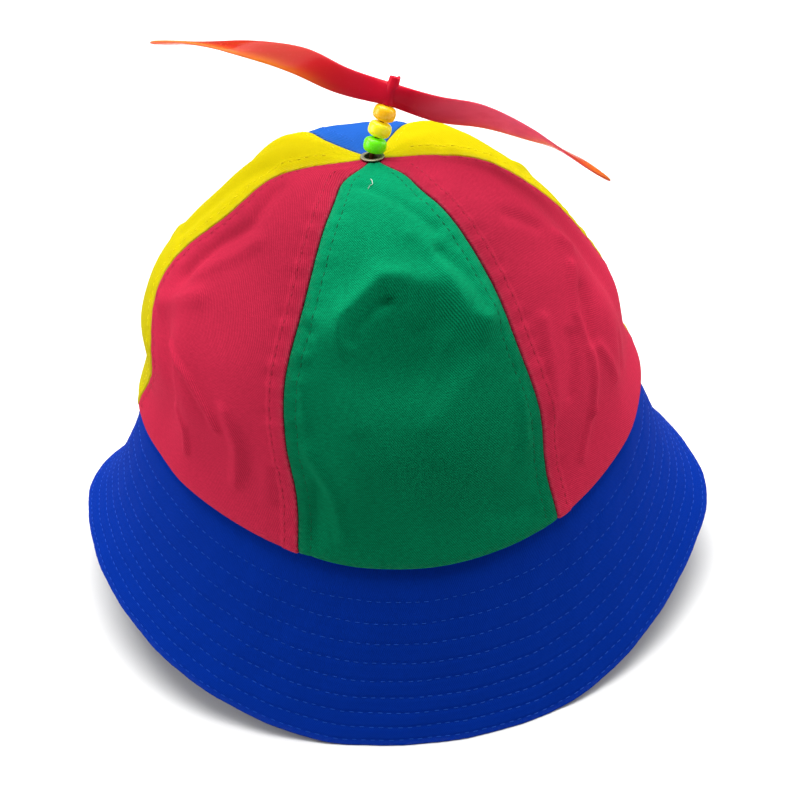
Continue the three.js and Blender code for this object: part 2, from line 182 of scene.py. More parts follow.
# Dents (depth below 0) and folds (above 0): panel, across, along, wide, long, slant, depth.
FOLDS = [
    ("green_front", 0.04, 0.445, 0.62, 0.105, 0, -2.7),
    ("green_front", 0.1, 0.68, 0.5, 0.08, 0, 0.35),
    ("green_front", -0.55, 0.2, 0.2, 0.2, 0.2, 0.4),
    ("red_left", 0, 0.35, 0.2, 0.25, 0.3, 0.6),
    ("red_left", 0.45, 0.4, 0.18, 0.22, 0.2, -0.85),
    ("red_left", -0.2, 0.74, 0.5, 0.07, 0.5, -0.4),
    ("yellow_left", 0.1, 0.5, 0.3, 0.25, 0, -0.5),
    ("blue_back", -0.1, 0.4, 0.4, 0.18, 0.2, -0.6),
    ("yellow_right", -0.1, 0.55, 0.25, 0.3, -0.3, -0.5),
    ("red_right", -0.15, 0.25, 0.2, 0.22, -0.3, 0.6),
    ("red_right", -0.5, 0.3, 0.2, 0.2, -0.3, -0.85),
    ("red_right", -0.25, 0.62, 0.5, 0.07, 0.6, -0.5),
]

# Fine creases that the plain solids leave out: panel, points (across, along) of the line that it
# follows, half width and height in millimetres.
CREASES = [
    ("red_right", [(-0.33, 0.35), (-0.02, 0.312), (0.18, 0.26), (0.26, 0.228)], 1.6, 1.59),
    ("red_right", [(0.38, 0.283), (0.47, 0.22), (0.46, 0.1)], 2.6, 1.3),
    ("red_right", [(-0.34, 0.203), (-0.15, 0.168), (-0.05, 0.092)], 1.5, 1.3),
    ("red_right", [(0.74, 0.17), (0.76, 0.1)], 3, 0.72),
    ("red_right", [(-0.71, 0.393), (-0.1, 0.478)], 4, 1.45),
    ("red_right", [(-0.58, 0.487), (-0.54, 0.593), (-0.29, 0.662), (-0.36, 0.765)], 3.5, -1.89),
    ("red_right", [(-0.31, 0.512), (0.05, 0.633)], 3.5, 1.16),
    ("red_right", [(0.65, 0.245), (0.64, 0.16)], 5, -0.58),
    ("red_right", [(-0.27, 0.315), (-0.29, 0.212)], 2, 0.72),
    ("green_front", [(-0.6, 0.51), (-0.5, 0.54), (-0.15, 0.6), (0.42, 0.58), (0.75, 0.5)], 7, 4.71),
    ("green_front", [(-0.59, 0.54), (-0.21, 0.613), (0.02, 0.61)], 2.5, 1.61),
    ("green_front", [(-0.5, 0.5), (-0.47, 0.525), (-0.32, 0.555), (-0.15, 0.58)], 2.2, -2.53),
    ("green_front", [(-0.24, 0.545), (-0.18, 0.55)], 3, 0.8),
    ("green_front", [(0.15, 0.515), (0.25, 0.515)], 3.5, -0.92),
    ("green_front", [(-0.15, 0.57), (0.05, 0.575), (0.28, 0.565), (0.4, 0.52)], 2.6, -1.15),
    ("green_front", [(0.4, 0.655), (0.51, 0.585), (0.56, 0.515), (0.75, 0.492)], 2.4, 1.26),
    ("green_front", [(0.53, 0.642), (0.72, 0.59), (0.79, 0.515)], 2.5, -1.15),
    ("green_front", [(0.61, 0.415), (0.38, 0.375), (0.08, 0.323)], 4, 1.03),
    ("green_front", [(0.35, 0.478), (0.21, 0.417), (0.04, 0.365)], 3, 0.92),
    ("green_front", [(-0.58, 0.515), (-0.49, 0.427), (-0.42, 0.328)], 3.5, 1.03),
    ("green_front", [(-0.82, 0.258), (-0.69, 0.16), (-0.66, 0.065)], 2.4, 1.26),
    ("green_front", [(-0.81, 0.173), (-0.86, 0.052)], 2.2, -0.92),
    ("green_front", [(-0.86, 0.398), (-0.83, 0.312)], 2, 0.69),
    ("green_front", [(-0.97, 0.52), (-0.86, 0.505)], 1.8, -1.38),
    ("green_front", [(-0.95, 0.465), (-0.85, 0.455)], 1.8, 0.92),
    ("green_front", [(0.88, 0.325), (0.83, 0.212)], 2.2, 0.8),
    ("green_front", [(0.71, 0.208), (0.7, 0.18)], 3, -0.69),
    ("green_front", [(0.52, 0.077), (0.8, 0.06)], 2.5, -0.69),
    ("green_front", [(-0.41, 0.865), (0.18, 0.792), (0.63, 0.693)], 2.2, -1.03),
    ("green_front", [(0.19, 0.69), (0.63, 0.66)], 2, 0.57),
    ("red_left", [(-0.27, 0.645), (-0.07, 0.588)], 3, -0.9),
    ("red_left", [(0.1, 0.53), (0.14, 0.5)], 3, 1.3),
    ("red_left", [(-0.06, 0.47), (-0.32, 0.388), (-0.37, 0.29), (-0.47, 0.158)], 2, 1.3),
    ("red_left", [(-0.47, 0.158), (-0.67, 0.083)], 2, 1.01),
    ("red_left", [(-0.67, 0.432), (-0.78, 0.34), (-0.88, 0.245)], 2.5, 1.01),
    ("red_left", [(-0.5, 0.36), (-0.69, 0.255)], 3, -1.16),
    ("red_left", [(-0.25, 0.288), (-0.11, 0.16)], 2, 1.01),
    ("red_left", [(0.08, 0.24), (0.08, 0.152)], 3, -1.01),
    ("red_left", [(-0.11, 0.413), (-0.32, 0.323)], 3, -1.16),
    ("yellow_left", [(-0.6, 0.62), (-0.2, 0.5), (0.0, 0.36)], 2.6, 1.03),
    ("yellow_left", [(0.1, 0.32), (0.3, 0.15)], 2.2, 0.8),
    ("yellow_left", [(0.5, 0.6), (0.4, 0.42)], 3, -1.03),
    ("yellow_right", [(0.6, 0.75), (0.62, 0.5)], 4, -1.15),
    ("yellow_right", [(0.2, 0.45), (0.0, 0.3), (-0.1, 0.12)], 2.4, 1.03),
    ("yellow_right", [(-0.5, 0.4), (-0.35, 0.2)], 2.6, 0.8),
    ("blue_back", [(-0.5, 0.62), (0.1, 0.5), (0.45, 0.52)], 3, 1.03),
    ("blue_back", [(0.3, 0.4), (0.15, 0.25), (0.25, 0.1)], 2.2, 0.92),
    ("blue_back", [(-0.55, 0.35), (-0.4, 0.15)], 2.4, 0.92),
    ("blue_back", [(-0.1, 0.3), (-0.1, 0.16)], 3, -0.92),
]

# Swells of the whole crown: angle and half width in degrees, along, half height, millimetres.
SWELLS = [(-140, 28, 0.75, 0.1, 3.8), (138, 28, 0.76, 0.11, 3.5)]

# Bends of a seam off its line: panel before it, along, half height, degrees.
SEAM_BENDS = [
    ("yellow_right", 0.245, 0.145, 13.5),
    ("yellow_right", 0.0, 0.15, 2.0),
    ("yellow_right", 0.66, 0.11, 8.0),
    ("green_front", 0.92, 0.07, 7.0),
    ("red_right", 0.92, 0.07, -7.0),
]

# How far the turned allowance lifts the cloth beside the seams before and after a panel.
LEDGES = {
    "green_front": (0.05, 0.05),
    "red_left": (0.55, 0.15),
    "yellow_left": (0.4, 0.15),
    "blue_back": (0.4, 0.4),
    "yellow_right": (0.15, 0.4),
    "red_right": (0.15, 0.55),
}

# Corners of the rim: angle and half width in degrees, extra reach in millimetres.
RIM_CORNERS = [(75, 14, 4.6), (-104, 14, 3.0), (-48, 24, 2.0), (-85, 22, 1.0)]

# Beads from the eyelet upwards: name, degrees that the loose bead leans on the stem.
BEADS = [("bead_green", -5), ("bead_yellow", 2), ("bead_orange", 3)]

BLADE_STATIONS = {
    "out": [0, 0.2, 0.4, 0.6, 0.72, 0.85, 1],
    "chord": [0.68, 0.81, 1, 0.84, 0.87, 0.68, 0.07],
    "twist": [98, 103, 131, 147, 169, 186, 205],
    "rise": [0, -0.03, 0.28, 0.12, -0.11, -0.47, -1],
    "sweep": [0, 0.15, -0.05, -0.05, 0.4, 0.8, 1],
}


def smooth_column(table, place, column):
    """A curve through one column of a table: cubic pieces whose slope at a row is the weighted
    mean of the slopes on its two sides. It takes and returns whole arrays."""
    x, y = np.array(table[place], float), np.array(table[column], float)
    width = np.diff(x)
    slope = np.diff(y) / width
    tangent = np.concatenate([slope[:1], np.zeros(len(x) - 2), slope[-1:]])
    tangent[1:-1] = (slope[:-1] * width[1:] + slope[1:] * width[:-1]) / (width[1:] + width[:-1])

    def curve(t):
        i = np.clip(np.searchsorted(x, t, side="right") - 1, 0, len(width) - 1)
        u = (t - x[i]) / width[i]
        rest = 1 - u
        return (
            y[i] * (1 + 2 * u) * rest * rest
            + tangent[i] * width[i] * u * rest * rest
            + y[i + 1] * u * u * (3 - 2 * u)
            - tangent[i + 1] * width[i] * u * u * rest
        )

    return curve


def smooth_step(value):
    """0 below 0, 1 above 1 and a smooth S between them."""
    share = np.clip(value, 0, 1)
    return share * share * (3 - 2 * share)


def edge_roll(distance, radius):
    """How far a surface has sunk at a distance from an edge that is rounded to a radius: a quarter
    of a circle, and nothing further in."""
    inward = np.clip(1 - distance / radius, 0, 1)
    return radius * (1 - np.sqrt(1 - inward * inward))


def angle_from(angle, degrees):
    """Signed angle from a direction given in degrees, the short way round."""
    away = angle - math.radians(degrees)
    return np.arctan2(np.sin(away), np.cos(away))


def unit(vectors):
    """The same directions with length 1."""
    return vectors / np.linalg.norm(vectors, axis=-1, keepdims=True)


ring_reach = smooth_column(CROWN_RINGS, "along", "reach")
ring_rise = smooth_column(CROWN_RINGS, "along", "rise")
ring_drift = smooth_column(CROWN_RINGS, "along", "drift")
ring_puff = smooth_column(CROWN_RINGS, "along", "puff")
CLOTH_HOLE = EYELET_BORE + EYELET_WALL + CLEARANCE
CROWN_TOP = JOIN_HEIGHT + CROWN_HEIGHT

# From the hat's own axis to the frame, whose origin is under the middle of the brim's box
SHIFT = np.array([0.24248, -2.9, 0])
EYELET_CENTRE = np.array([-CROWN_DRIFT * CROWN_RINGS["drift"][-1], 0, CROWN_TOP]) + SHIFT


def join_level(angle):
    """The join's height over its mean: a tilt and a saddle round the hat."""
    return JOIN_TILT * np.cos(angle) - JOIN_SADDLE * np.cos(2 * angle)


def crown_radius(along):
    """The crown's radius at a share of the way up, ending at the hole for the eyelet."""
    reach = ring_reach(along)
    return JOIN_RADIUS * reach + CLOTH_HOLE * along**8 * (1 - reach)


def crown_base(angle, along):
    """The seamed outer surface: rings of crown_radius that rise and drift as the table says."""
    radius, rise = crown_radius(along), ring_rise(along)
    swell = 0
    for at, wide, up, tall, height in SWELLS:
        away = angle_from(angle, at) / math.radians(wide)
        swell = swell + height * np.exp(-(away**2) - ((along - up) / tall) ** 2)
    return np.stack(
        [
            radius * np.sin(angle) - CROWN_DRIFT * ring_drift(along),
            -radius * np.cos(angle),
            JOIN_HEIGHT + CROWN_HEIGHT * rise + join_level(angle) * (1 - rise) + swell,
        ],
        axis=-1,
    )


def crown_normal(angle, along):
    """Outward direction: the cross product of the two slopes, turned level near the join."""
    step = 0.001
    around = crown_base(angle + step, along) - crown_base(angle - step, along)
    up = crown_base(angle, np.minimum(along + step, 1)) - crown_base(
        angle, np.maximum(along - step, 0)
    )
    normal = np.cross(around, up)
    normal[..., 2] *= smooth_step(along / CROWN_RINGS["along"][1])
    return unit(normal)


def seam_angles(place, along):
    """Angles of the seams before and after a panel at a share of the way up."""
    half = math.pi / len(PANELS)
    return [
        half * (2 * place + side) + seam_stray(PANELS[place + (side - 1) // 2], along)
        for side in (-1, 1)
    ]


def seam_stray(panel, along):
    """How far the seam after a panel strays at a share of the way up."""
    stray = panel[2] * (1 - smooth_step(along / CROWN_RINGS["along"][3]))
    for name, up, tall, degrees in SEAM_BENDS:
        if name == panel[0]:
            stray = stray + degrees * np.exp(-(((along - up) / tall) ** 2))
    return np.radians(stray)


def panel_span(place, along):
    """Half the panel's width along its ring."""
    before, after = seam_angles(place, along)
    return (after - before) / 2 * crown_radius(along)


def travelled(points):
    """Length along a row of points from its first to each of them."""
    steps = np.linalg.norm(np.diff(points, axis=0), axis=1)
    return np.concatenate([[0], np.cumsum(steps)])


CLIMB_SHARES = np.linspace(0, 1, 400)
CLIMB_LENGTHS = travelled(crown_base(np.zeros(len(CLIMB_SHARES)), CLIMB_SHARES))


def panel_climb(along):
    """Length up the cloth from the hem at a share of the way up."""
    return np.interp(along, CLIMB_SHARES, CLIMB_LENGTHS)


def panel_relief(place, across, along):
    """Height of the cloth over the seamed surface: its puff, and a bell-shaped bump for each fold,
    all faded out at the seams and under the eyelet."""
    dome = 1 - across * across
    fold = 0
    for name, side, up, wide, long, slant, depth in FOLDS:
        if name == PANELS[place][0]:
            rise = along - up
            shift = (across - side - slant * rise) / wide
            fold = fold + depth * np.exp(-(shift**2) - (rise / long) ** 2)
    clamp = smooth_step((crown_radius(along) - EYELET_FLANGE) / EYELET_FADE)
    relief = clamp * dome * (PUFF_HEIGHT * ring_puff(along) + FOLD_DEPTH * fold)
    climb = panel_climb(along)
    hem = HEM_PUFF * (1 - smooth_step(climb / HEM_PUFF_LENGTH))
    hem = hem * smooth_step(climb / 6 + 0.55)
    return relief + hem + clamp * creases(place, across, along)


def creases(place, across, along):
    """Height of a panel's creases: a bell of the distance in the cloth to the crease's line,
    with soft ends."""
    x, y = across * panel_span(place, along), panel_climb(along)
    height = np.zeros(x.shape)
    for name, line, wide, tall in CREASES:
        if name != PANELS[place][0]:
            continue
        ends = np.array(line)
        ends = np.stack([ends[:, 0] * panel_span(place, ends[:, 1]), panel_climb(ends[:, 1])], 1)
        nearest = np.full(x.shape, np.inf)
        for (x0, y0), (x1, y1) in zip(ends[:-1], ends[1:]):
            dx, dy = x1 - x0, y1 - y0
            share = ((x - x0) * dx + (y - y0) * dy) / (dx * dx + dy * dy)
            share = np.clip(share, 0, 1)
            nearest = np.minimum(nearest, np.hypot(x - x0 - share * dx, y - y0 - share * dy))
        height = height + tall * np.exp(-((nearest / wide) ** 2))
    return height * smooth_step((1 - np.abs(across)) * panel_span(place, along) / 4)


def seam_detail(place, across, along):
    """Sewing relief on the outside: the cloth rolls into the seam, stands up a little over the
    pressed allowance, dips along the row of stitches and puckers in waves beside it."""
    span, climb = panel_span(place, along), panel_climb(along)
    inset = (1 - np.abs(across)) * span
    side = np.sign(across)
    row = np.exp(-(((inset - TOPSTITCH) / STITCH_DIP_WIDTH) ** 2))
    near = np.exp(-(((inset - TOPSTITCH) / PUCKER_WIDTH) ** 2))
    phase = place * 1.7 + side
    pucker = np.sin(climb * 0.93 + phase) + 0.7 * np.sin(climb * 0.57 + 2.1 * phase)
    before, after = LEDGES[PANELS[place][0]]
    ledge = np.where(across < 0, before, after)
    allowance = ledge * (1 - smooth_step((inset - TOPSTITCH - 0.4) / 1.2))
    wide = smooth_step((span - 7) / 8)
    wave = RIPPLE_HEIGHT * np.sin(across * 5 + climb * 0.11 + place)
    wave = wave * np.sin(climb * 0.17 - across * 3)
    return (
        wide * (allowance - STITCH_DIP * row + PUCKER_HEIGHT * near * pucker)
        + wave * (1 - across * across)
        - edge_roll(inset, np.minimum(SEAM_ROLL, 0.45 * span))
        - edge_roll(climb, HEM_ROLL)
    )


def panel_angle(place, across, along):
    """Angle round the hat at a share of the half panel, half a gap inside each seam."""
    before, after = seam_angles(place, along)
    gap = PANEL_GAP / 2 / crown_radius(along)
    return before + gap + (after - before - 2 * gap) * (across + 1) / 2


def over_crown(place, across, along, relief):
    """Points of a panel at a height over the seamed surface, half a gap above the brim."""
    angle = panel_angle(place, across, along)
    point = crown_base(angle, along) + crown_normal(angle, along) * relief[..., None]
    point[..., 2] += CLEARANCE / 2 * (1 - along)
    return point


def panel_outside(place, across, along):
    """A point of a panel's outer face."""
    relief = panel_relief(place, across, along) + seam_detail(place, across, along)
    return over_crown(place, across, along, relief)


def panel_inside(place, across, along):
    """A point of its inner face: the outer one without its sewing relief, a wall deeper, and
    deeper still over the allowances that are pressed open beside each seam."""
    span, climb = panel_span(place, along), panel_climb(along)
    inset = (1 - np.abs(across)) * span
    allowance = ALLOWANCE_WALL * (1 - smooth_step((inset - ALLOWANCE + 0.4) / 0.8))
    allowance = allowance * smooth_step(climb / 9 - 1) * smooth_step((span - 10) / 6)
    depth = CROWN_WALL + allowance - edge_roll(climb, HEM_ROLL)
    return over_crown(place, across, along, panel_relief(place, across, along) - depth)


def rim_lift(angle):
    """Height of the rim: flat on the ground in front and behind, turned up at the sides."""
    off = np.maximum(np.abs(np.sin(angle)) - RESTING_SHARE, 0) / (1 - RESTING_SHARE)
    return SIDE_LIFT * off**LIFT_POWER


def rim_corner(angle):
    """Extra reach of the rim at its side corners, a bell round each of them."""
    reach = 0
    for at, spread, corner in RIM_CORNERS:
        reach = reach + corner * np.exp(-((angle_from(angle, at) / math.radians(spread)) ** 2))
    return reach


def brim_point(angle, out, depth):
    """The brim from the join (out 0) to the rim (out 1): it flares straight in plan, sags below a
    straight line in height, and depth moves it level towards the head."""
    reach = BRIM_FLARE - BRIM_FORWARD * np.cos(angle) + rim_corner(angle) * out * out
    radius = JOIN_RADIUS - JOIN_STEP * (1 - out) + reach * out - depth
    level = (JOIN_HEIGHT + join_level(angle) - CLEARANCE / 2) * (1 - out)
    return np.stack(
        [
            radius * np.sin(angle),
            -radius * np.cos(angle),
            level - BRIM_HOLLOW * 4 * out * (1 - out) + rim_lift(angle) * out,
        ],
        axis=-1,
    )


def row_bells(slope):
    """1 on each of the brim's rows of stitches, falling off beside it as a bell."""
    return sum(np.exp(-(((slope - BRIM_SLOPE * row) / ROW_WIDTH) ** 2)) for row in BRIM_ROWS)


def back_seam(angle):
    """The same on the brim's seam at the back."""
    return np.exp(-(((math.pi - np.abs(angle)) * BACK_RADIUS / BACK_SEAM_WIDTH) ** 2))


def brim_wave(angle, slope):
    """Two crossing waves round and down the brim, from -1 to 1."""
    return np.sin(angle * 23 + slope * 0.21) * np.sin(angle * 9 - slope * 0.13)


def brim_outside(angle, out):
    """The brim's upper face: quilted between its rows of stitches, with a soft unevenness and a
    groove under the crown's hem, and rounded off at the rim."""
    slope = BRIM_SLOPE * out
    depth = edge_roll(BRIM_SLOPE - slope, BRIM_WALL / 2) + ROW_DIP * row_bells(slope)
    ripple = np.sin(angle * 131 + slope * 0.6) * np.sin(angle * 57 + 1)
    uneven = BRIM_WAVE * brim_wave(angle, slope) + BRIM_RIPPLE * ripple
    depth = depth + uneven * smooth_step(out * 8) + BACK_SEAM_DIP * back_seam(angle)
    depth = depth + HEM_GROOVE * np.exp(-((slope / HEM_GROOVE_WIDTH) ** 2))
    return brim_point(angle, out, depth)


def brim_underside(angle, out):
    """Its lower face, a wall deeper, with the same rows."""
    slope = BRIM_SLOPE * out
    depth = BRIM_WALL - edge_roll(BRIM_SLOPE - slope, BRIM_WALL / 2)
    depth = depth - ROW_DIP_BELOW * row_bells(slope)
    depth = depth + BRIM_WAVE * brim_wave(angle, slope) * smooth_step(out * 8)
    return brim_point(angle, out, depth - BACK_SEAM_DIP_BELOW * back_seam(angle))


def stem_basis():
    """Columns: the stem's own X, Y and Z directions in the frame."""
    up = unit(np.array([math.tan(math.radians(lean)) for lean in STEM_LEAN] + [1.0]))
    side = unit(np.array([1.0, 0, 0]) - up * up[0])
    return np.stack([side, np.cross(up, side), up], axis=1)


STEM_BASIS = stem_basis()
STEM_FOOT = EYELET_CENTRE + np.array([STEM_SHIFT, 0, 0])
BARREL_HALF = BEAD_HEIGHT / 2 / BEAD_END


def bead_support(tilt):
    """How far a tilted bead reaches below its centre: the support distance of its barrel."""
    dual = BEAD_ROUNDNESS / (BEAD_ROUNDNESS - 1)
    side = (BEAD_RADIUS * math.sin(tilt)) ** dual
    end = (BARREL_HALF * math.cos(tilt)) ** dual
    return (side + end) ** (1 / dual)


EYELET_TOP = CLEARANCE + EYELET_ROLL
LEAN = math.acos(STEM_BASIS[2, 2])
FIRST_BEAD = (
    EYELET_TOP + CLEARANCE + bead_support(LEAN + math.radians(BEADS[0][1]))
) / math.cos(LEAN)
BEAD_PITCH = BEAD_HEIGHT + CLEARANCE
HUB_REACH = BLADE_CHORD * HUB_CHORD / 2 + HUB_MARGIN
PROPELLER_HEIGHT = FIRST_BEAD + (len(BEADS) - 0.5) * BEAD_PITCH + CLEARANCE / 2 + HUB_REACH
BORE_TOP = HUB_REACH + BOSS_HEIGHT - HUB_ROOF


def on_stem(points):
    """Points of the stem's own frame, moved into the hat's frame."""
    return points @ STEM_BASIS.T + STEM_FOOT


def turn_about(points, axis, degrees):
    """Points turned about the X, Y or Z axis."""
    return points @ np.array(Matrix.Rotation(math.radians(degrees), 3, axis)).T


# Meshes


def grid_faces(rows, columns, wrap_rows=False, wrap_columns=False):
    """Quads between neighbouring points of a grid that is numbered row by row. Also gives each
    corner's row and column, counted on past the end where the grid wraps."""
    r, c = np.meshgrid(
        np.arange(rows if wrap_rows else rows - 1),
        np.arange(columns if wrap_columns else columns - 1),
        indexing="ij",
    )
    corner_row = np.stack([r, r, r + 1, r + 1], -1).reshape(-1, 4)
    corner_column = np.stack([c, c + 1, c + 1, c], -1).reshape(-1, 4)
    faces = (corner_row % rows) * columns + corner_column % columns
    return faces, corner_row, corner_column


def mesh_object(name, points, faces, uv=None, values=None, smooth=True):
    """An object at the origin from points in millimetres. uv has two numbers for each corner of
    each face, and values maps attribute names to one number for each point."""
    mesh = bpy.data.meshes.new(name)
    mesh.from_pydata((np.asarray(points).reshape(-1, 3) * MM).tolist(), [], list(faces))
    if uv is not None:
        layer = mesh.uv_layers.new(name="cloth")
        layer.data.foreach_set("uv", np.asarray(uv, np.float32).ravel())
    for key, numbers in (values or {}).items():
        attribute = mesh.attributes.new(key, "FLOAT", "POINT")
        attribute.data.foreach_set("value", np.asarray(numbers, np.float32).ravel())
    if smooth:
        mesh.shade_smooth()
    else:
        mesh.shade_flat()
    mesh.validate()
    mesh.update()
    made = bpy.data.objects.new(name, mesh)
    bpy.context.scene.collection.objects.link(made)
    return made


def face_outwards(points, faces):
    """The same quads, turned round together if their enclosed volume is negative."""
    flat = points.reshape(-1, 3)
    a, b, c, d = (flat[faces[:, k]] for k in range(4))
    volume = np.einsum("ij,ij->i", a, np.cross(b, c)) + np.einsum("ij,ij->i", a, np.cross(c, d))
    return faces if volume.sum() > 0 else faces[:, ::-1]


def place_piece(piece, body, slot, material, *nodes):
    """Gives a piece its material, lets it ride on a body and stand for CAD nodes.
    Its slot is not used.
    """
    piece.data.materials.append(material)
    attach(piece, body)
    if nodes:
        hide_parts(*nodes)


def turned_mesh(profile, sides, wrap=True):
    """Points and quads of a profile of (radius, height) pairs turned about +Z."""
    profile = np.array(profile, float)
    turn = np.arange(sides) * 2 * math.pi / sides
    radius, height = profile[:, 0:1], profile[:, 1:2]
    points = np.stack(
        [radius * np.cos(turn), radius * np.sin(turn), height + 0 * turn], axis=-1
    )
    faces, _, _ = grid_faces(len(profile), sides, wrap_rows=wrap, wrap_columns=True)
    return points, face_outwards(points, faces)


def arc(centre, radius, start, end, count):
    """(radius, height) points on an arc about a centre, from one angle in degrees to another."""
    turn = np.radians(np.linspace(start, end, count))
    return np.stack([centre[0] + radius * np.cos(turn), centre[1] + radius * np.sin(turn)], -1)


def stitch_row(points, normals, pitch, length, radius, draws):
    """Thread stitches along a row of surface points: each is a short six-sided rod whose two ends
    dip into the cloth. They start every pitch along the row and stray a little at random."""
    travel = travelled(points)
    count = max(int((travel[-1] - length) / pitch), 1)
    start = pitch / 2 + (np.arange(count) + 0.5) * (travel[-1] - pitch) / count
    start = start + draws.normal(0, 0.05 * pitch, count)
    long = length * (1 + draws.normal(0, 0.05, count))
    q = np.linspace(-1, 1, 5)
    place = start[:, None] + q * long[:, None] / 2
    centre = np.stack([np.interp(place, travel, points[:, k]) for k in range(3)], -1)
    up = unit(np.stack([np.interp(place, travel, normals[:, k]) for k in range(3)], -1))
    along = unit(np.gradient(centre, axis=1))
    side = unit(np.cross(along, up))
    centre = centre + side * draws.normal(0, 0.06, count)[:, None, None]
    height = radius * (0.45 - 1.7 * np.abs(q) ** 3)
    thick = radius * np.sqrt(1 - 0.55 * q**4)
    turn = np.arange(6) * math.pi / 3
    ring = (
        np.cos(turn)[:, None] * side[:, :, None, :] + np.sin(turn)[:, None] * up[:, :, None, :]
    )
    return (centre + up * height[:, None])[:, :, None, :] + ring * thick[:, None, None]


def stitch_mesh(name, rows):
    """One object from several rows of stitches, with closed ends. Its UV runs round the thread
    and along it, in millimetres."""
    points = np.concatenate(rows)
    count = len(points)
    wall, corner_row, corner_column = grid_faces(5, 6, wrap_columns=True)
    caps = np.array([[0, 5, 4, 3], [0, 3, 2, 1], [24, 25, 26, 27], [24, 27, 28, 29]])
    faces = np.concatenate([wall[:, ::-1], caps])
    cap_turn = np.zeros((4, 4))
    turn = np.concatenate([corner_column[:, ::-1] / 6, cap_turn])
    length = np.concatenate([corner_row[:, ::-1] / 4, cap_turn])
    every = (faces[None] + 30 * np.arange(count)[:, None, None]).reshape(-1, 4)
    flat = points.reshape(-1, 3)
    first = face_outwards(points[0], faces)
    if first is not faces:
        every = every[:, ::-1]
    uv = np.tile(np.stack([turn, length], -1), (count, 1, 1))
    return mesh_object(name, flat, every.tolist(), uv)


def tube_mesh(path, radius, sides):
    """Points and quads of a round thread along a path, with its ends drawn to a point."""
    path = np.array(path, float)
    along = unit(np.gradient(path, axis=0))
    guide = np.array([0.31, 0.22, 0.92])
    side = unit(np.cross(along, guide))
    other = np.cross(along, side)
    turn = np.arange(sides) * 2 * math.pi / sides
    share = np.linspace(-1, 1, len(path))
    thick = radius * np.sqrt(np.maximum(1 - np.abs(share) ** 6, 0.02))
    ring = np.cos(turn)[:, None] * side[:, None] + np.sin(turn)[:, None] * other[:, None]
    points = path[:, None] + ring * thick[:, None, None]
    faces, _, _ = grid_faces(len(path), sides, wrap_columns=True)
    faces = face_outwards(points, faces)
    last = (len(path) - 1) * sides
    ends = [list(range(sides)), list(range(last + sides - 1, last - 1, -1))]
    a, b, c = (points.reshape(-1, 3)[ends[0][k]] for k in (0, 2, 4))
    if np.dot(np.cross(b - a, c - a), along[0]) > 0:
        ends = [end[::-1] for end in ends]
    return points, faces.tolist() + ends


# Materials


def start_material(name, roughness):
    """A new material with its node tree and Principled shader."""
    material = bpy.data.materials.new(name)
    material.use_nodes = True
    tree = material.node_tree
    shader = tree.nodes["Principled BSDF"]
    shader.inputs["Roughness"].default_value = roughness
    return material, tree, shader


def fill_sockets(tree, node, sockets):
    """Links or sets the named inputs of a node."""
    for key, value in sockets.items():
        if isinstance(value, bpy.types.NodeSocket):
            tree.links.new(value, node.inputs[key])
        else:
            node.inputs[key].default_value = value


def add_node(tree, kind, sockets=None, **settings):
    """A node with its settings made and its sockets linked or set."""
    node = tree.nodes.new(kind)
    for key, value in settings.items():
        setattr(node, key, value)
    fill_sockets(tree, node, sockets or {})
    return node


def maths(tree, operation, first, second=0.0):
    """The output of a Math node."""
    return add_node(tree, "ShaderNodeMath", {0: first, 1: second}, operation=operation).outputs[0]


def plus(tree, first, second):
    """The sum of two values."""
    return maths(tree, "ADD", first, second)


def less(tree, first, second):
    """The first value less the second."""
    return maths(tree, "SUBTRACT", first, second)


def times(tree, first, second):
    """The product of two values."""
    return maths(tree, "MULTIPLY", first, second)


def stored(tree, key):
    """The piece's own attribute of that name."""
    return add_node(tree, "ShaderNodeAttribute", attribute_name=key).outputs["Fac"]


def object_spot(tree):
    """Object coordinates, which stay with the piece."""
    return add_node(tree, "ShaderNodeTexCoord").outputs["Object"]


def mixed(tree, share, first, second, blend="MIX"):
    """The output of a colour Mix node."""
    node = add_node(
        tree,
        "ShaderNodeMix",
        {"Factor": share, 6: first, 7: second},
        data_type="RGBA",
        blend_type=blend,
    )
    return node.outputs[2]


def noise(tree, vector, scale, detail=3.0, roughness=0.55):
    """The output of a Noise texture, from about 0.3 to 0.7."""
    sockets = {"Vector": vector, "Scale": scale, "Detail": detail, "Roughness": roughness}
    return add_node(tree, "ShaderNodeTexNoise", sockets).outputs[0]


def ranged(tree, value, low, high, start=0.0, end=1.0):
    """Value mapped from low..high to start..end and held there."""
    sockets = {0: value, 1: low, 2: high, 3: start, 4: end}
    return add_node(tree, "ShaderNodeMapRange", sockets, clamp=True).outputs[0]


def shade(colour, factor):
    """A colour made lighter or darker, with alpha 1."""
    return tuple(min(channel * factor, 1.0) for channel in colour[:3]) + (1.0,)


def add_bump(tree, shader, height, strength, distance):
    """Bump from a height from 0 to 1."""
    sockets = {"Height": height, "Strength": strength, "Distance": distance}
    bump = add_node(tree, "ShaderNodeBump", sockets)
    tree.links.new(bump.outputs[0], shader.inputs["Normal"])


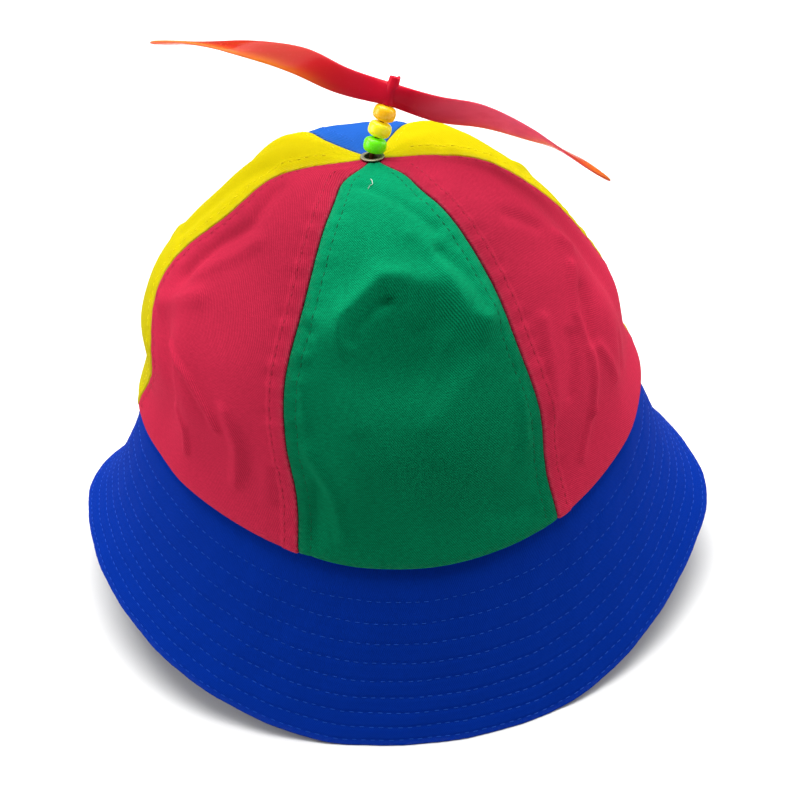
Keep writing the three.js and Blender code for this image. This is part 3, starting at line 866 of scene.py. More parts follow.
def cotton_material(name, colour, valley_shade_and_slub_tone, pitch, angle, painted_shade=0.0):
    """Cotton twill on the piece's own UV, which is in metres. The height is a sine across the
    diagonal at the given pitch, broken along it by a second sine where the yarns float. The
    colour goes from the valleys' darker tone, which is painted shade, to the yarns', with uneven
    slubs in the yarn, soft patches and pale worn edges. Painted shade also darkens the lower part
    by the given share, or the upper part where the share is below 0.
    """
    material, tree, shader = start_material(name, 0.9)
    uv = add_node(tree, "ShaderNodeUVMap", uv_map="cloth").outputs[0]
    split = add_node(tree, "ShaderNodeSeparateXYZ", {0: uv})
    x, y = split.outputs[0], split.outputs[1]
    wobble = times(tree, less(tree, noise(tree, uv, 90.0), 0.5), 0.0011)
    cos, sin = math.cos(angle), math.sin(angle)
    across = plus(tree, plus(tree, times(tree, x, cos), times(tree, y, sin)), wobble)
    along = less(tree, times(tree, y, cos), times(tree, x, sin))
    twill = maths(tree, "SINE", times(tree, across, 2 * math.pi / pitch))
    floats = maths(tree, "SINE", times(tree, along, 2 * math.pi / (1.7 * pitch)))
    depth = plus(tree, times(tree, floats, 0.16), 0.34)
    height = plus(tree, times(tree, twill, depth), 0.5)
    lint = less(tree, noise(tree, uv, 2600.0, 2.0, 0.6), 0.5)
    height = plus(tree, height, times(tree, lint, 0.5))
    # Painted shade: the low parts of the twill take the valleys' darker tone.
    colours = mixed(tree, ranged(tree, height, 0.1, 0.8), valley_shade_and_slub_tone, colour)
    patches = ranged(tree, noise(tree, uv, 38.0, 4.0), 0.3, 0.7, 0.0, 0.3)
    colours = mixed(tree, patches, colours, valley_shade_and_slub_tone)
    rub = times(tree, stored(tree, "worn"), ranged(tree, noise(tree, uv, 700.0), 0.4, 0.65))
    pale = tuple(0.75 * channel + 0.12 for channel in colour[:3]) + (1.0,)
    colours = mixed(tree, times(tree, rub, 0.32), colours, pale)
    stretched = add_node(tree, "ShaderNodeMapping", {0: uv, 3: (500.0, 1700.0, 1.0)}).outputs[0]
    slubs = ranged(tree, noise(tree, stretched, 1.0, 2.0), 0.35, 0.7, 0.0, 0.45)
    colours = mixed(tree, slubs, colours, valley_shade_and_slub_tone)
    # Painted shade: darker towards the hem by the given share, or towards the top where it is below
    # 0, blended by the stored rise.
    if painted_shade:
        low, high = shade(WHITE, 1 - max(painted_shade, 0)), shade(WHITE, 1 + min(painted_shade, 0))
        painted_shade_tint = mixed(tree, stored(tree, "rise"), low, high)
        colours = mixed(tree, 1.0, colours, painted_shade_tint, "MULTIPLY")
    sockets = {
        "Base Color": colours,
        "Roughness": ranged(tree, height, 0.1, 1.0, 0.97, 0.82),
        "Sheen Weight": 0.02,
        "Sheen Roughness": 0.5,
        "Sheen Tint": shade(colour, 1.3),
        "Specular IOR Level": 0.025,
    }
    fill_sockets(tree, shader, sockets)
    add_bump(tree, shader, height, 0.5, 0.00016)
    return material


def thread_material(name, colour):
    """Spun thread: fine slanting stripes of ply round the thread, with a little fuzz."""
    material, tree, shader = start_material(name, 0.7)
    uv = add_node(tree, "ShaderNodeUVMap", uv_map="cloth").outputs[0]
    round_it, along = add_node(tree, "ShaderNodeSeparateXYZ", {0: uv}).outputs[:2]
    turns = plus(
        tree, times(tree, round_it, 2 * 2 * math.pi), times(tree, along, 5 * 2 * math.pi)
    )
    ply = ranged(tree, maths(tree, "SINE", turns), -1, 1)
    fuzz = ranged(tree, noise(tree, object_spot(tree), 900.0), 0.35, 0.65)
    colours = mixed(tree, ply, shade(colour, 0.6), shade(colour, 1.1))
    colours = mixed(tree, times(tree, fuzz, 0.3), colours, shade(colour, 1.4))
    fill_sockets(tree, shader, {"Base Color": colours, "Specular IOR Level": 0.15})
    add_bump(tree, shader, ply, 0.5, 0.00005)
    return material


def plastic_material(name, colour, deep, roughness, soften):
    """Glossy moulded plastic with light soaking in and a faint painted glow of its own colour:
    faint flow swirls in the colour, a darker tone in the swirls, fine scuffs in the gloss and a
    slight waviness."""
    material, tree, shader = start_material(name, roughness)
    spot = object_spot(tree)
    swirl = ranged(tree, noise(tree, spot, 140.0, 4.0), 0.35, 0.7)
    scuff = ranged(tree, noise(tree, spot, 900.0, 5.0), 0.45, 0.7, roughness, roughness + 0.15)
    sockets = {
        "Base Color": mixed(tree, swirl, deep, colour),
        "Roughness": scuff,
        "Subsurface Weight": soften,
        "Subsurface Radius": (1.0, 0.8, 0.3),
        "Subsurface Scale": 0.003,
        # Painted glow: the plastic emits a little of its own colour, standing in for light that
        # comes through it.
        "Emission Color": colour,
        "Emission Strength": 0.14,
    }
    fill_sockets(tree, shader, sockets)
    add_bump(tree, shader, noise(tree, spot, 120.0, 2.0), 0.1, 0.0003)
    return material


def blade_material(name, hub, top, under, tip):
    """Red moulded plastic: deep at the hub, with painted light on the blades: orange on the upper
    faces and paler orange where the blade is thin, standing in for light coming through, and
    pinkish on the lower faces as a painted reflection. The piece's own attributes out, face and
    thin say where."""
    material, tree, shader = start_material(name, 0.22)
    spot = object_spot(tree)
    streaks = add_node(tree, "ShaderNodeMapping", {0: spot, 3: (40.0, 260.0, 260.0)}).outputs[0]
    flow = ranged(tree, noise(tree, streaks, 1.0, 4.0), 0.35, 0.65)
    # Painted light: orange upper faces and pinkish lower faces, paler orange where the blade is
    # thin.
    faces = mixed(tree, stored(tree, "face"), under, top)
    faces = mixed(tree, times(tree, stored(tree, "thin"), 0.6), faces, tip)
    colours = mixed(tree, ranged(tree, stored(tree, "out"), 0.08, 0.5), hub, faces)
    sockets = {
        "Base Color": mixed(tree, times(tree, flow, 0.25), colours, hub),
        "Roughness": ranged(tree, noise(tree, spot, 700.0, 5.0), 0.5, 0.72, 0.2, 0.34),
        "Subsurface Weight": 0.35,
        "Subsurface Radius": (1.0, 0.25, 0.15),
        "Subsurface Scale": 0.002,
        "Specular IOR Level": 0.06,
    }
    fill_sockets(tree, shader, sockets)
    add_bump(tree, shader, noise(tree, spot, 160.0, 2.0), 0.15, 0.0004)
    return material


def metal_material(name, colour, dull, roughness):
    """Plated metal gone dull in patches, with fine scratches in its gloss."""
    material, tree, shader = start_material(name, roughness)
    spot = object_spot(tree)
    patches = ranged(tree, noise(tree, spot, 500.0, 5.0, 0.7), 0.38, 0.62)
    sockets = {
        "Base Color": mixed(tree, patches, dull, colour),
        "Roughness": ranged(tree, patches, 0, 1, roughness + 0.25, roughness),
        "Metallic": 0.6,
    }
    fill_sockets(tree, shader, sockets)
    add_bump(tree, shader, noise(tree, spot, 2500.0, 4.0), 0.25, 0.00005)
    return material


# Settings


def colour_property(name, description, default):
    """A colour that the user may change."""
    return bpy.props.FloatVectorProperty(
        name=name, description=description, default=default, subtype="COLOR", size=3, min=0, max=1
    )


def length_property(name, description, default):
    """A length that the user may change, kept in metres."""
    return bpy.props.FloatProperty(
        name=name, description=description, default=default, unit="LENGTH", min=0, precision=5
    )


class HatClothSettings(bpy.types.PropertyGroup):
    """Cloth, weave and thread."""

    green: colour_property("Green cotton", "Front panel", (0.001, 0.35, 0.143))
    red: colour_property("Red cotton", "The two panels beside the front", (0.63, 0.026, 0.073))
    brim: colour_property("Brim cotton", "Brim", (0.0005, 0.027, 0.31))
    yellow: colour_property("Yellow cotton", "The two panels beside the back", (0.5, 0.42, 0.001))
    blue: colour_property("Blue cotton", "Back panel", (0.016, 0.105, 0.46))
    brim_thread: colour_property("Brim thread", "Rows of the brim", (0.004, 0.06, 0.42))
    twill_pitch: length_property("Twill pitch", "Distance between two twill lines", 0.0006)
    twill_angle: bpy.props.FloatProperty(
        name="Twill angle",
        description="Slope of the twill lines across a panel",
        default=math.radians(34),
        subtype="ANGLE",
    )
    stitch_length: length_property("Stitch length", "Length of a stitch", 0.0021)
    stitch_pitch: length_property("Stitch pitch", "From one stitch to the next", 0.0029)
    thread: length_property("Thread", "Radius of the sewing thread", 0.00015)


class HatToySettings(bpy.types.PropertyGroup):
    """Eyelet, beads and propeller."""

    eyelet: colour_property("Eyelet", "Plated metal", (0.42, 0.38, 0.26))
    wire: colour_property("Stem", "Brown wire", (0.3, 0.1, 0.04))
    bead_green: colour_property("Green bead", "Lowest bead", (0.17, 1.0, 0.004))
    bead_yellow: colour_property("Yellow bead", "Middle bead", (1.0, 0.9, 0.01))
    bead_orange: colour_property("Orange bead", "Top bead", (1.0, 0.52, 0.004))
    hub: colour_property("Hub", "Deep red of the hub", (0.58, 0.008, 0.028))
    # The upper, lower and thin blade colours are painted light: orange for light coming through the
    # plastic, pinkish for a painted reflection.
    upper: colour_property("Upper faces", "Orange red of the upper faces", (0.36, 0.018, 0.002))
    under: colour_property("Lower faces", "Pinkish red of the lower faces", (1.0, 0.19, 0.31))
    tip: colour_property("Thin plastic", "Orange tone of thin edges and tips", (0.9, 0.33, 0.02))


class HatStageSettings(bpy.types.PropertyGroup):
    """Floor, lights and camera."""

    floor: colour_property("Floor", "Pale floor", (0.76, 0.76, 0.76))
    top_light: bpy.props.FloatProperty(
        name="Top light", description="Power overhead", default=61.0, min=0, unit="POWER"
    )
    side_light: bpy.props.FloatProperty(
        name="Side lights", description="Power at each side", default=10.0, min=0, unit="POWER"
    )
    sky: bpy.props.FloatProperty(
        name="Sky", description="Strength of the even light", default=0.23, min=0
    )
    lens: length_property("Focal length", "Of the camera on a 36 mm sensor", 0.06227)


# Operators


class HAT_OT_crown(bpy.types.Operator):
    """Sew the six panels of the crown"""

    bl_idname = "hat.crown"
    bl_label = "Crown Panels"

    def execute(self, context):
        cloth = context.scene.hat_cloth
        weave = (cloth.twill_pitch, cloth.twill_angle)
        materials = {}
        for slot, (key, dark, painted_shade, _) in CLOTHS.items():
            tone = getattr(cloth, key)
            # The second tone is painted shade in the twill's valleys, and also the tone of patches
            # and slubs.
            tones = (shade(tone, 1), shade(tone, dark))
            materials[slot] = cotton_material(slot, *tones, *weave, painted_shade)
        t = np.linspace(-1, 1, PANEL_COLUMNS)
        across = (0.35 * t + 0.65 * np.sin(t * math.pi / 2))[None, :] + np.zeros((PANEL_ROWS, 1))
        s = np.linspace(0, 1, PANEL_ROWS)
        along = (0.5 * s + 0.5 * s * s)[:, None] + np.zeros((1, PANEL_COLUMNS))
        width = 2 * PANEL_COLUMNS
        grid, _, _ = grid_faces(PANEL_ROWS, width, wrap_columns=True)
        first = np.arange(PANEL_COLUMNS - 1)
        hem = np.stack([first, width - 1 - first, width - 2 - first, first + 1], -1)
        top = hem[:, ::-1] + (PANEL_ROWS - 1) * width
        for place, (name, slot, _) in enumerate(PANELS):
            outer = panel_outside(place, across, along)
            inner = panel_inside(place, across, along)
            points = np.concatenate([outer, inner[:, ::-1]], axis=1) + SHIFT
            wall = face_outwards(points, grid)
            faces = np.concatenate([wall, *self.closing_strips(wall, (hem, top))])
            span, climb = panel_span(place, along), panel_climb(along)
            inset = (1 - np.abs(across)) * span
            uv = np.stack([self.doubled(across * span), self.doubled(climb)], -1).reshape(-1, 2)
            values = {
                "worn": self.doubled(np.exp(-inset / 0.8) + np.exp(-climb / 1.2)),
                # rise blends the cotton's painted shade from the lower part to the upper part.
                "rise": smooth_step((self.doubled(along) - 0.3) / 0.4),
            }
            title = "crown_cloth_" + name
            piece = mesh_object(title, points, faces.tolist(), (uv * MM)[faces], values)
            place_piece(piece, "hat", slot, materials[slot], "crown_panel_" + name)
        return {"FINISHED"}

    def doubled(self, values):
        """Values of the outer face, then the same back again for the inner face."""
        return np.concatenate([values, values[:, ::-1]], axis=1)

    def closing_strips(self, wall, strips):
        """The hem and top strips, turned to run against the wall's edges as neighbours do."""
        edges = {
            (int(a), int(b)) for k in range(4) for a, b in zip(wall[:, k], wall[:, (k + 1) % 4])
        }
        turned = []
        for strip in strips:
            corners = [int(corner) for corner in strip[0]]
            clash = any(edge in edges for edge in zip(corners, corners[1:] + corners[:1]))
            turned.append(strip[:, ::-1] if clash else strip)
        return turned


class HAT_OT_brim(bpy.types.Operator):
    """Make the stitched brim with the flange that is sewn inside the crown"""

    bl_idname = "hat.brim"
    bl_label = "Brim"

    def execute(self, context):
        cloth = context.scene.hat_cloth
        angle = (-math.pi + 2 * math.pi * np.arange(BRIM_STEPS) / BRIM_STEPS)[None, :]
        near_rows = [row + np.linspace(-0.03, 0.03, 7) for row in BRIM_ROWS]
        near_rim = 1 - 0.017 * np.linspace(0, 1, 5) ** 2
        above = np.concatenate([np.linspace(0, 1, 62), *near_rows, near_rim])
        above = np.unique(above.clip(0, 1))
        below = np.linspace(1, 0, 60)[1:]
        tuck = np.linspace(FLANGE_SHARE, 0, 6)
        rings = [self.flange(angle, up, FLANGE_DEPTHS[0]) for up in tuck]
        rings += [brim_outside(angle, out) for out in above]
        rings += [brim_underside(angle, out) for out in below]
        rings += [self.flange(angle, up, FLANGE_DEPTHS[1]) for up in tuck[::-1]]
        points = np.stack([ring.reshape(BRIM_STEPS, 3) for ring in rings]) + SHIFT
        rows = len(points)
        faces, row, column = grid_faces(rows, BRIM_STEPS, wrap_rows=True, wrap_columns=True)
        tucked = -FLANGE_LENGTH * tuck / FLANGE_SHARE
        slope = np.concatenate([tucked, BRIM_SLOPE * above, BRIM_SLOPE * below, tucked[::-1]])
        outwards = face_outwards(points, faces)
        if outwards is not faces:
            faces, row, column = outwards, row[:, ::-1], column[:, ::-1]
        fan = FAN_SHARE * (-math.pi + 2 * math.pi * column / BRIM_STEPS)
        radius = FAN_RADIUS + slope[row % rows]
        uv = np.stack([radius * np.sin(fan), radius * np.cos(fan)], -1) * MM
        worn = np.exp(-np.abs(BRIM_SLOPE - slope) / 1.2)[:, None] + np.zeros((1, BRIM_STEPS))
        piece = mesh_object("brim_cloth", points, faces.tolist(), uv, {"worn": worn})
        # The second tone is painted shade in the twill's valleys, and also the tone of patches and
        # slubs.
        tones = (shade(cloth.brim, 1), shade(cloth.brim, 0.7))
        material = cotton_material("cotton_brim", *tones, cloth.twill_pitch, cloth.twill_angle)
        place_piece(piece, "hat", "cotton_blue", material, "brim")
        return {"FINISHED"}

    def flange(self, angle, up, depth):
        """A ring of the flange: the crown's surface at a share of the way up, moved inwards."""
        along = np.full(angle.shape, up)
        return crown_base(angle, along) - crown_normal(angle, along) * depth


class HAT_OT_stitching(bpy.types.Operator):
    """Topstitch both sides of each crown seam and the rows of the brim"""

    bl_idname = "hat.stitching"
    bl_label = "Stitching"

    def execute(self, context):
        cloth = context.scene.hat_cloth
        draws = np.random.default_rng(SEED)
        pitch, length, radius = (
            value / MM for value in (cloth.stitch_pitch, cloth.stitch_length, cloth.thread)
        )
        materials = {
            slot: thread_material("thread_" + slot, shade(getattr(cloth, key), tone))
            for slot, (key, _, _, tone) in CLOTHS.items()
        }
        for place, (name, slot, _) in enumerate(PANELS):
            rows = []
            for side in (-1, 1):
                along = np.linspace(*TOPSTITCH_SHARES, 500)
                along = along[panel_span(place, along) > TOPSTITCH + 2.2]
                across = side * (1 - TOPSTITCH / panel_span(place, along))
                points = panel_outside(place, across, along) + SHIFT
                normals = crown_normal(panel_angle(place, across, along), along)
                rows.append(stitch_row(points, normals, pitch, length, radius, draws))
            piece = stitch_mesh("topstitch_" + name, rows)
            place_piece(piece, "hat", slot, materials[slot])
        rows = []
        turn = np.linspace(-math.pi + 0.01, math.pi - 0.01, 1500)
        for out in BRIM_ROWS:
            points = brim_outside(turn, np.full(turn.shape, out))
            across = np.gradient(points, axis=0)
            down = brim_outside(turn, np.full(turn.shape, out + 0.004)) - points
            normals = unit(np.cross(down, across))
            outward = unit(points * [1, 1, 0])
            normals *= np.sign(np.einsum("ij,ij->i", normals, outward))[:, None]
            rows.append(stitch_row(points + SHIFT, normals, pitch * 1.1, length, radius, draws))
        material = thread_material("thread_brim", shade(cloth.brim_thread, 1))
        place_piece(stitch_mesh("topstitch_brim", rows), "hat", "cotton_blue", material)
        return {"FINISHED"}


class HAT_OT_eyelet(bpy.types.Operator):
    """Turn the rolled metal eyelet"""

    bl_idname = "hat.eyelet"
    bl_label = "Eyelet"

    def execute(self, context):
        toy = context.scene.hat_toy
        low = -CROWN_WALL - CLEARANCE - EYELET_ROLL
        high = EYELET_TOP
        barrel = EYELET_BORE + EYELET_WALL
        bend = EYELET_ROLL / 2
        profile = np.concatenate(
            [
                arc((EYELET_BORE + bend, low + bend), bend, 180, 270, 7),
                arc((EYELET_FLANGE - bend, low + bend), bend, 270, 450, 13),
                [[barrel, low + EYELET_ROLL]],
                [[barrel, high - EYELET_ROLL]],
                arc((EYELET_FLANGE - bend, high - bend), bend, -90, 90, 13),
                arc((EYELET_BORE + bend, high - bend), bend, 90, 180, 7),
            ]
        )
        points, faces = turned_mesh(profile, 72)
        piece = mesh_object("eyelet_metal", points + EYELET_CENTRE, faces.tolist())
        material = metal_material("eyelet", shade(toy.eyelet, 1), shade(toy.eyelet, 0.45), 0.28)
        place_piece(piece, "hat", "eyelet_metal", material, "eyelet")
        return {"FINISHED"}


class HAT_OT_stem(bpy.types.Operator):
    """Make the stem wire with the disc that holds it under the crown"""

    bl_idname = "hat.stem"
    bl_label = "Stem"

    def execute(self, context):
        toy = context.scene.hat_toy
        disc_top = -CROWN_WALL - EYELET_ROLL - 2 * CLEARANCE
        top = PROPELLER_HEIGHT + BORE_TOP - CLEARANCE
        foot = disc_top - DISC_HEIGHT / 2
        rim, tip = 0.35, 0.3
        wire = np.concatenate(
            [
                [[NEAR_AXIS, foot], [STEM_RADIUS, foot], [STEM_RADIUS, top - tip]],
                arc((STEM_RADIUS - tip, top - tip), tip, 0, 90, 6),
                [[NEAR_AXIS, top]],
            ]
        )
        shaft, shaft_faces = turned_mesh(wire, 32)
        disc = np.concatenate(
            [
                [[NEAR_AXIS, disc_top - DISC_HEIGHT]],
                arc((DISC_RADIUS - rim, disc_top - DISC_HEIGHT + rim), rim, 270, 360, 6),
                arc((DISC_RADIUS - rim, disc_top - rim), rim, 0, 90, 6),
                [[NEAR_AXIS, disc_top]],
            ]
        )
        plate, plate_faces = turned_mesh(disc, 64)
        shaft, plate = shaft.reshape(-1, 3), plate.reshape(-1, 3)
        points = np.concatenate([on_stem(shaft), plate + STEM_FOOT])
        faces = np.concatenate([shaft_faces, plate_faces + len(shaft)])
        piece = mesh_object("stem_wire", points, faces.tolist())
        material = metal_material("stem", shade(toy.wire, 1), shade(toy.wire, 0.4), 0.35)
        place_piece(piece, "hat", "stem_wire", material, "stem")
        return {"FINISHED"}


class HAT_OT_beads(bpy.types.Operator):
    """Thread the three barrel beads on the stem"""

    bl_idname = "hat.beads"
    bl_label = "Beads"

    def execute(self, context):
        toy = context.scene.hat_toy
        share = BEAD_END * np.sin(np.linspace(-1, 1, 41) * math.pi / 2)
        bend = BEAD_RADIUS * (1 - np.abs(share) ** BEAD_SHAPE) ** (1 / BEAD_SHAPE)
        bend = bend + 0.03 * np.exp(-((share / 0.02) ** 2))
        end = BEAD_HEIGHT / 2
        lip = bend[0] - BEAD_BORE
        profile = np.concatenate(
            [
                np.stack([bend, BARREL_HALF * share], -1),
                arc((BEAD_BORE + lip, end - lip), lip, 90, 180, 5)[1:],
                arc((BEAD_BORE + lip, -end + lip), lip, 180, 270, 5)[:-1],
            ]
        )
        tones = {
            "bead_green": (toy.bead_green, 0.92),
            "bead_yellow": (toy.bead_yellow, 0.96),
            "bead_orange": (toy.bead_orange, 0.94),
        }
        for place, (name, tilt) in enumerate(BEADS):
            points, faces = turned_mesh(profile, 64)
            local = turn_about(points.reshape(-1, 3), "Y", tilt)
            local[:, 2] += FIRST_BEAD + place * BEAD_PITCH
            piece = mesh_object(name + "_barrel", on_stem(local), faces.tolist())
            tone, dark = tones[name]
            material = plastic_material(
                name + "_plastic", shade(tone, 1), shade(tone, dark), 0.26, 0.2
            )
            place_piece(piece, "hat", name, material, name)
        return {"FINISHED"}


class HAT_OT_propeller(bpy.types.Operator):
    """Mould the propeller: two twisted blades and a hub with a blind bore"""

    bl_idname = "hat.propeller"
    bl_label = "Propeller"
    stations, sides = 121, 36

    def execute(self, context):
        toy = context.scene.hat_toy
        blade, blade_faces, values = self.blade()
        other = turn_about(blade, "Z", 180)
        hub, hub_faces = self.hub()
        count = len(blade)
        points = np.concatenate([blade, other, hub])
        points = turn_about(points, "Z", PROPELLER_TURN)
        points[:, 2] += PROPELLER_HEIGHT
        faces = blade_faces.tolist() + (blade_faces + count).tolist()
        faces += self.blade_ends(count) + (hub_faces + 2 * count).tolist()
        every = {
            key: np.concatenate([numbers, numbers, np.full(len(hub), rest)])
            for (key, numbers), rest in zip(values.items(), (0, 0.5, 0))
        }
        piece = mesh_object("propeller_moulding", on_stem(points), faces, values=every)
        # The blades' upper, lower and thin colours are painted light.
        tones = (shade(tone, 1) for tone in (toy.hub, toy.upper, toy.under, toy.tip))
        material = blade_material("propeller", *tones)
        place_piece(piece, "propeller", "propeller_plastic", material, "propeller")
        return {"FINISHED"}

    def blade(self):
        """A blade from the hub towards +X: an oval section, thicker where it leaves the hub, is
        carried along a line and turned by the twist."""
        out = np.linspace(0, 1, self.stations)
        chord, twist, rise, sweep = (
            smooth_column(BLADE_STATIONS, "out", key)(out)[:, None]
            for key in ("chord", "twist", "rise", "sweep")
        )
        twist, half = np.radians(twist), BLADE_CHORD * chord / 2
        root = 1 + 2.2 * np.exp(-((out[:, None] * BLADE_LENGTH / 5.5) ** 2))
        wall = np.minimum(BLADE_WALL / 2 * root, 0.8 * half)
        turn = np.arange(self.sides) * 2 * math.pi / self.sides
        edge = np.cos(turn)
        along = half * np.sign(edge) * np.abs(edge) ** 0.8
        thick = wall * np.sign(np.sin(turn)) * np.abs(np.sin(turn)) ** 0.9
        points = np.stack(
            [
                BLADE_LENGTH * out[:, None] + 0 * turn,
                BLADE_SWEEP * sweep + along * np.cos(twist) - thick * np.sin(twist),
                BLADE_DROOP * rise + along * np.sin(twist) + thick * np.cos(twist),
            ],
            axis=-1,
        )
        faces, _, _ = grid_faces(self.stations, self.sides, wrap_columns=True)
        # Masks for the blades' painted light: which face is up, and the thin edges and tips.
        top = np.cos(twist) * np.sin(turn)
        far = out[:, None] + 0 * turn
        thin = np.maximum(-edge, 0) ** 2 * smooth_step(far * 4 - 0.4)
        thin = thin + smooth_step(far * 4 - 3) * 0.6
        values = {
            "out": far.ravel(),
            "face": smooth_step(0.5 + 2 * top).ravel(),
            "thin": thin.clip(0, 1).ravel(),
        }
        return points.reshape(-1, 3), face_outwards(points, faces), values

    def blade_ends(self, count):
        """Faces that close both ends of both blades."""
        first = list(range(self.sides))
        last = [count - self.sides + k for k in first]
        ends = []
        for start in (0, count):
            ends.append([start + k for k in first[::-1]])
            ends.append([start + k for k in last])
        return ends

    def hub(self):
        """The hub's wall, shoulder, boss and blind bore as one profile turned about the stem."""
        soft, bore = 0.35, STEM_RADIUS + CLEARANCE
        top = HUB_REACH + BOSS_HEIGHT
        profile = np.concatenate(
            [
                [[bore, -HUB_REACH]],
                arc((HUB_RADIUS - soft, -HUB_REACH + soft), soft, -90, 0, 6),
                [[HUB_RADIUS, HUB_REACH - 0.9], [HUB_RADIUS - 0.05, HUB_REACH - 0.4]],
                [[BOSS_RADIUS + 0.2, HUB_REACH + 0.2], [BOSS_RADIUS + 0.05, HUB_REACH + 0.8]],
                arc((BOSS_RADIUS - soft, top - soft), soft, 0, 90, 6),
                [[1.0, top - 0.1], [NEAR_AXIS, top - 0.18]],
                [[NEAR_AXIS, BORE_TOP], [bore, BORE_TOP]],
            ]
        )
        points, faces = turned_mesh(profile, 56)
        flat = points.reshape(-1, 3)
        mark = np.exp(-(((flat[:, 0] - 1.3) ** 2 + (flat[:, 1] - 0.2) ** 2) / 0.25))
        flat[:, 2] += 0.9 * mark * (flat[:, 2] > top - 0.5)
        return flat, faces


class HAT_OT_thread_ends(bpy.types.Operator):
    """Leave the loose thread ends on the front panel and beside the eyelet"""

    bl_idname = "hat.thread_ends"
    bl_label = "Thread Ends"

    def execute(self, context):
        t = np.linspace(0, 1, 28)
        across = -0.17 + 0.06 * np.sin(t * 4.2) * (0.4 + t)
        along = 0.885 - 0.035 * t + 0.004 * np.sin(t * 9)
        lift = 0.2 + 0.35 * np.sin(t * math.pi)
        self.strand("thread_tail", 0, across, along, lift, (0.6, 0.68, 0.64), "cotton_green")
        turn = np.linspace(-0.4, 3.6, 30)
        across = 0.75 + 0.25 * np.cos(turn)
        along = 0.955 + 0.012 * np.sin(turn)
        lift = 0.3 + 0.5 * np.sin(turn / 2) ** 2
        self.strand("thread_loop", 2, across, along, lift, (0.75, 0.62, 0.05), "cotton_yellow")
        return {"FINISHED"}

    def strand(self, name, place, across, along, lift, tone, slot):
        """A thread over a panel, at a height over its outer face."""
        across = np.clip(across, -0.97, 0.97)
        path = panel_outside(place, across, along) + SHIFT
        path = path + crown_normal(panel_angle(place, across, along), along) * lift[:, None]
        points, faces = tube_mesh(path, STRAND_RADIUS, STRAND_SIDES)
        piece = mesh_object(name, points, faces)
        corners = np.zeros(len(piece.data.loops), np.int32)
        piece.data.loops.foreach_get("vertex_index", corners)
        uv = np.stack([(corners % STRAND_SIDES) / STRAND_SIDES, corners // STRAND_SIDES / 3], -1)
        layer = piece.data.uv_layers.new(name="cloth")
        layer.data.foreach_set("uv", uv.astype(np.float32).ravel())
        place_piece(piece, "hat", slot, thread_material(name, shade(tone, 1)))


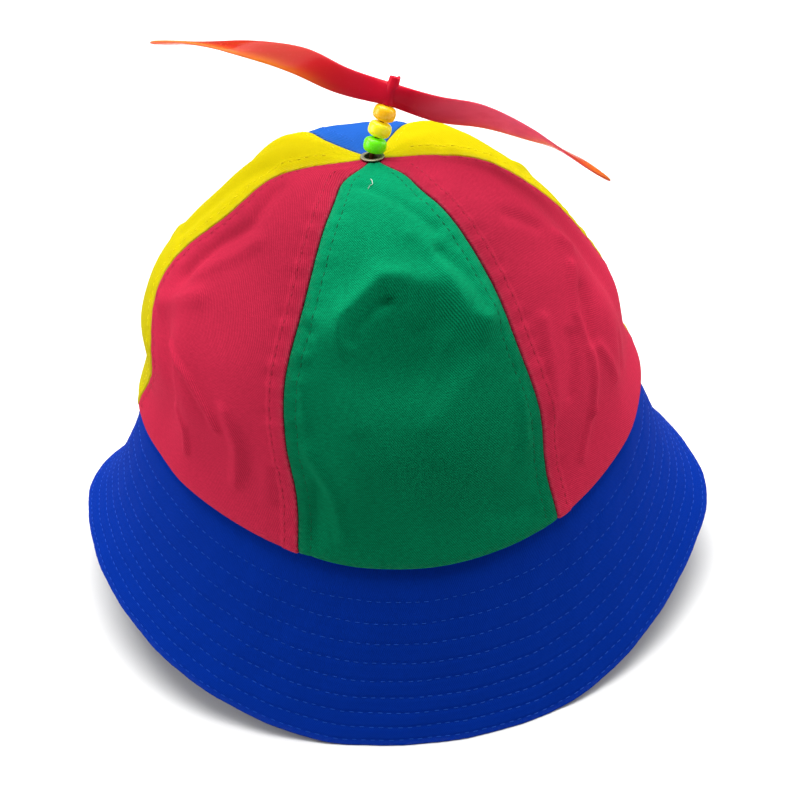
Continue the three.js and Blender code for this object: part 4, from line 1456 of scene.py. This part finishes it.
class HAT_OT_stage(bpy.types.Operator):
    """Lay the floor and set the lights and the camera"""

    bl_idname = "hat.stage"
    bl_label = "Stage"

    def execute(self, context):
        stage = context.scene.hat_stage
        self.floor(stage)
        for name, place, size, power in LIGHTS:
            self.light(name, place, size, getattr(stage, power))
        world = bpy.data.worlds.new("studio")
        world.use_nodes = True
        tree = world.node_tree
        lit = tree.nodes["Background"]
        lit.inputs["Strength"].default_value = stage.sky
        seen = add_node(tree, "ShaderNodeBackground", {"Strength": SEEN_WORLD})
        for sky in (lit, seen):
            sky.inputs["Color"].default_value = shade(WHITE, 1)
        direct = add_node(tree, "ShaderNodeLightPath").outputs["Is Camera Ray"]
        sockets = {0: direct, 1: lit.outputs[0], 2: seen.outputs[0]}
        both = add_node(tree, "ShaderNodeMixShader", sockets)
        tree.links.new(both.outputs[0], tree.nodes["World Output"].inputs["Surface"])
        context.scene.world = world
        context.scene.view_settings.view_transform = "Standard"
        self.camera(context, stage)
        return {"FINISHED"}

    def floor(self, stage):
        """A flat pale sheet of card with a very faint mottle."""
        size = FLOOR_HALF / MM
        points = [[-size, -size, 0], [size, -size, 0], [size, size, 0], [-size, size, 0]]
        floor = mesh_object("floor", points, [[0, 1, 2, 3]], smooth=False)
        material, tree, shader = start_material("floor", 0.8)
        mottle = ranged(tree, noise(tree, object_spot(tree), 6.0), 0.3, 0.7)
        tone = mixed(tree, mottle, shade(stage.floor, 0.99), shade(stage.floor, 1))
        tree.links.new(tone, shader.inputs["Base Color"])
        floor.data.materials.append(material)

    def light(self, name, place, size, power):
        """A square soft box that faces the hat."""
        data = bpy.data.lights.new(name, "AREA")
        data.energy, data.size = power, size
        light = bpy.data.objects.new(name, data)
        bpy.context.scene.collection.objects.link(light)
        light.location = place
        away = Vector(place) - Vector(LIGHT_TARGET)
        light.rotation_euler = away.to_track_quat("Z", "Y").to_euler()

    def camera(self, context, stage):
        """Looks down at the front from a little to the hat's right, rolled slightly."""
        e, a, r = (math.radians(angle) for angle in CAMERA_TURN)
        back = Vector((math.sin(a) * math.cos(e), -math.cos(a) * math.cos(e), math.sin(e)))
        right = Vector((math.cos(a), math.sin(a), 0))
        up = back.cross(right)
        side = right * math.cos(r) + up * math.sin(r)
        head = up * math.cos(r) - right * math.sin(r)
        data = bpy.data.cameras.new("camera")
        data.sensor_width, data.lens = SENSOR, stage.lens / MM
        data.shift_x, data.shift_y = CAMERA_SHIFT
        camera = bpy.data.objects.new("camera", data)
        context.scene.collection.objects.link(camera)
        target = Vector((SHIFT[0] * MM, SHIFT[1] * MM, CAMERA_HEIGHT))
        turn = Matrix((side, head, back)).transposed()
        place = target + back * CAMERA_DISTANCE
        camera.matrix_world = Matrix.Translation(place) @ turn.to_4x4()
        context.scene.camera = camera


class HAT_PT_pieces(bpy.types.Panel):
    """Lists the pieces in the sidebar"""

    bl_label = "Propeller Hat"
    bl_space_type = "VIEW_3D"
    bl_region_type = "UI"
    bl_category = "Hat"

    def draw(self, context):
        for group in (context.scene.hat_cloth, context.scene.hat_toy, context.scene.hat_stage):
            box = self.layout.box()
            for key in group.__annotations__:
                box.prop(group, key)
        for operator in OPERATORS:
            self.layout.operator(operator.bl_idname)


SETTINGS = {
    "hat_cloth": HatClothSettings,
    "hat_toy": HatToySettings,
    "hat_stage": HatStageSettings,
}
OPERATORS = [
    HAT_OT_stage,
    HAT_OT_crown,
    HAT_OT_brim,
    HAT_OT_stitching,
    HAT_OT_eyelet,
    HAT_OT_stem,
    HAT_OT_beads,
    HAT_OT_propeller,
    HAT_OT_thread_ends,
]


def register():
    """Adds the settings, operators and panel."""
    for kind in [*SETTINGS.values(), *OPERATORS, HAT_PT_pieces]:
        bpy.utils.register_class(kind)
    for key, kind in SETTINGS.items():
        setattr(bpy.types.Scene, key, bpy.props.PointerProperty(type=kind))


def unregister():
    """Takes them away again."""
    for key in SETTINGS:
        delattr(bpy.types.Scene, key)
    for kind in [HAT_PT_pieces, *reversed(OPERATORS), *SETTINGS.values()]:
        bpy.utils.unregister_class(kind)


def main():
    register()
    bpy.ops.hat.stage()
    bpy.ops.hat.crown()
    bpy.ops.hat.brim()
    bpy.ops.hat.stitching()
    bpy.ops.hat.eyelet()
    bpy.ops.hat.stem()
    bpy.ops.hat.beads()
    bpy.ops.hat.propeller()
    bpy.ops.hat.thread_ends()


if __name__ == "__main__":
    main()
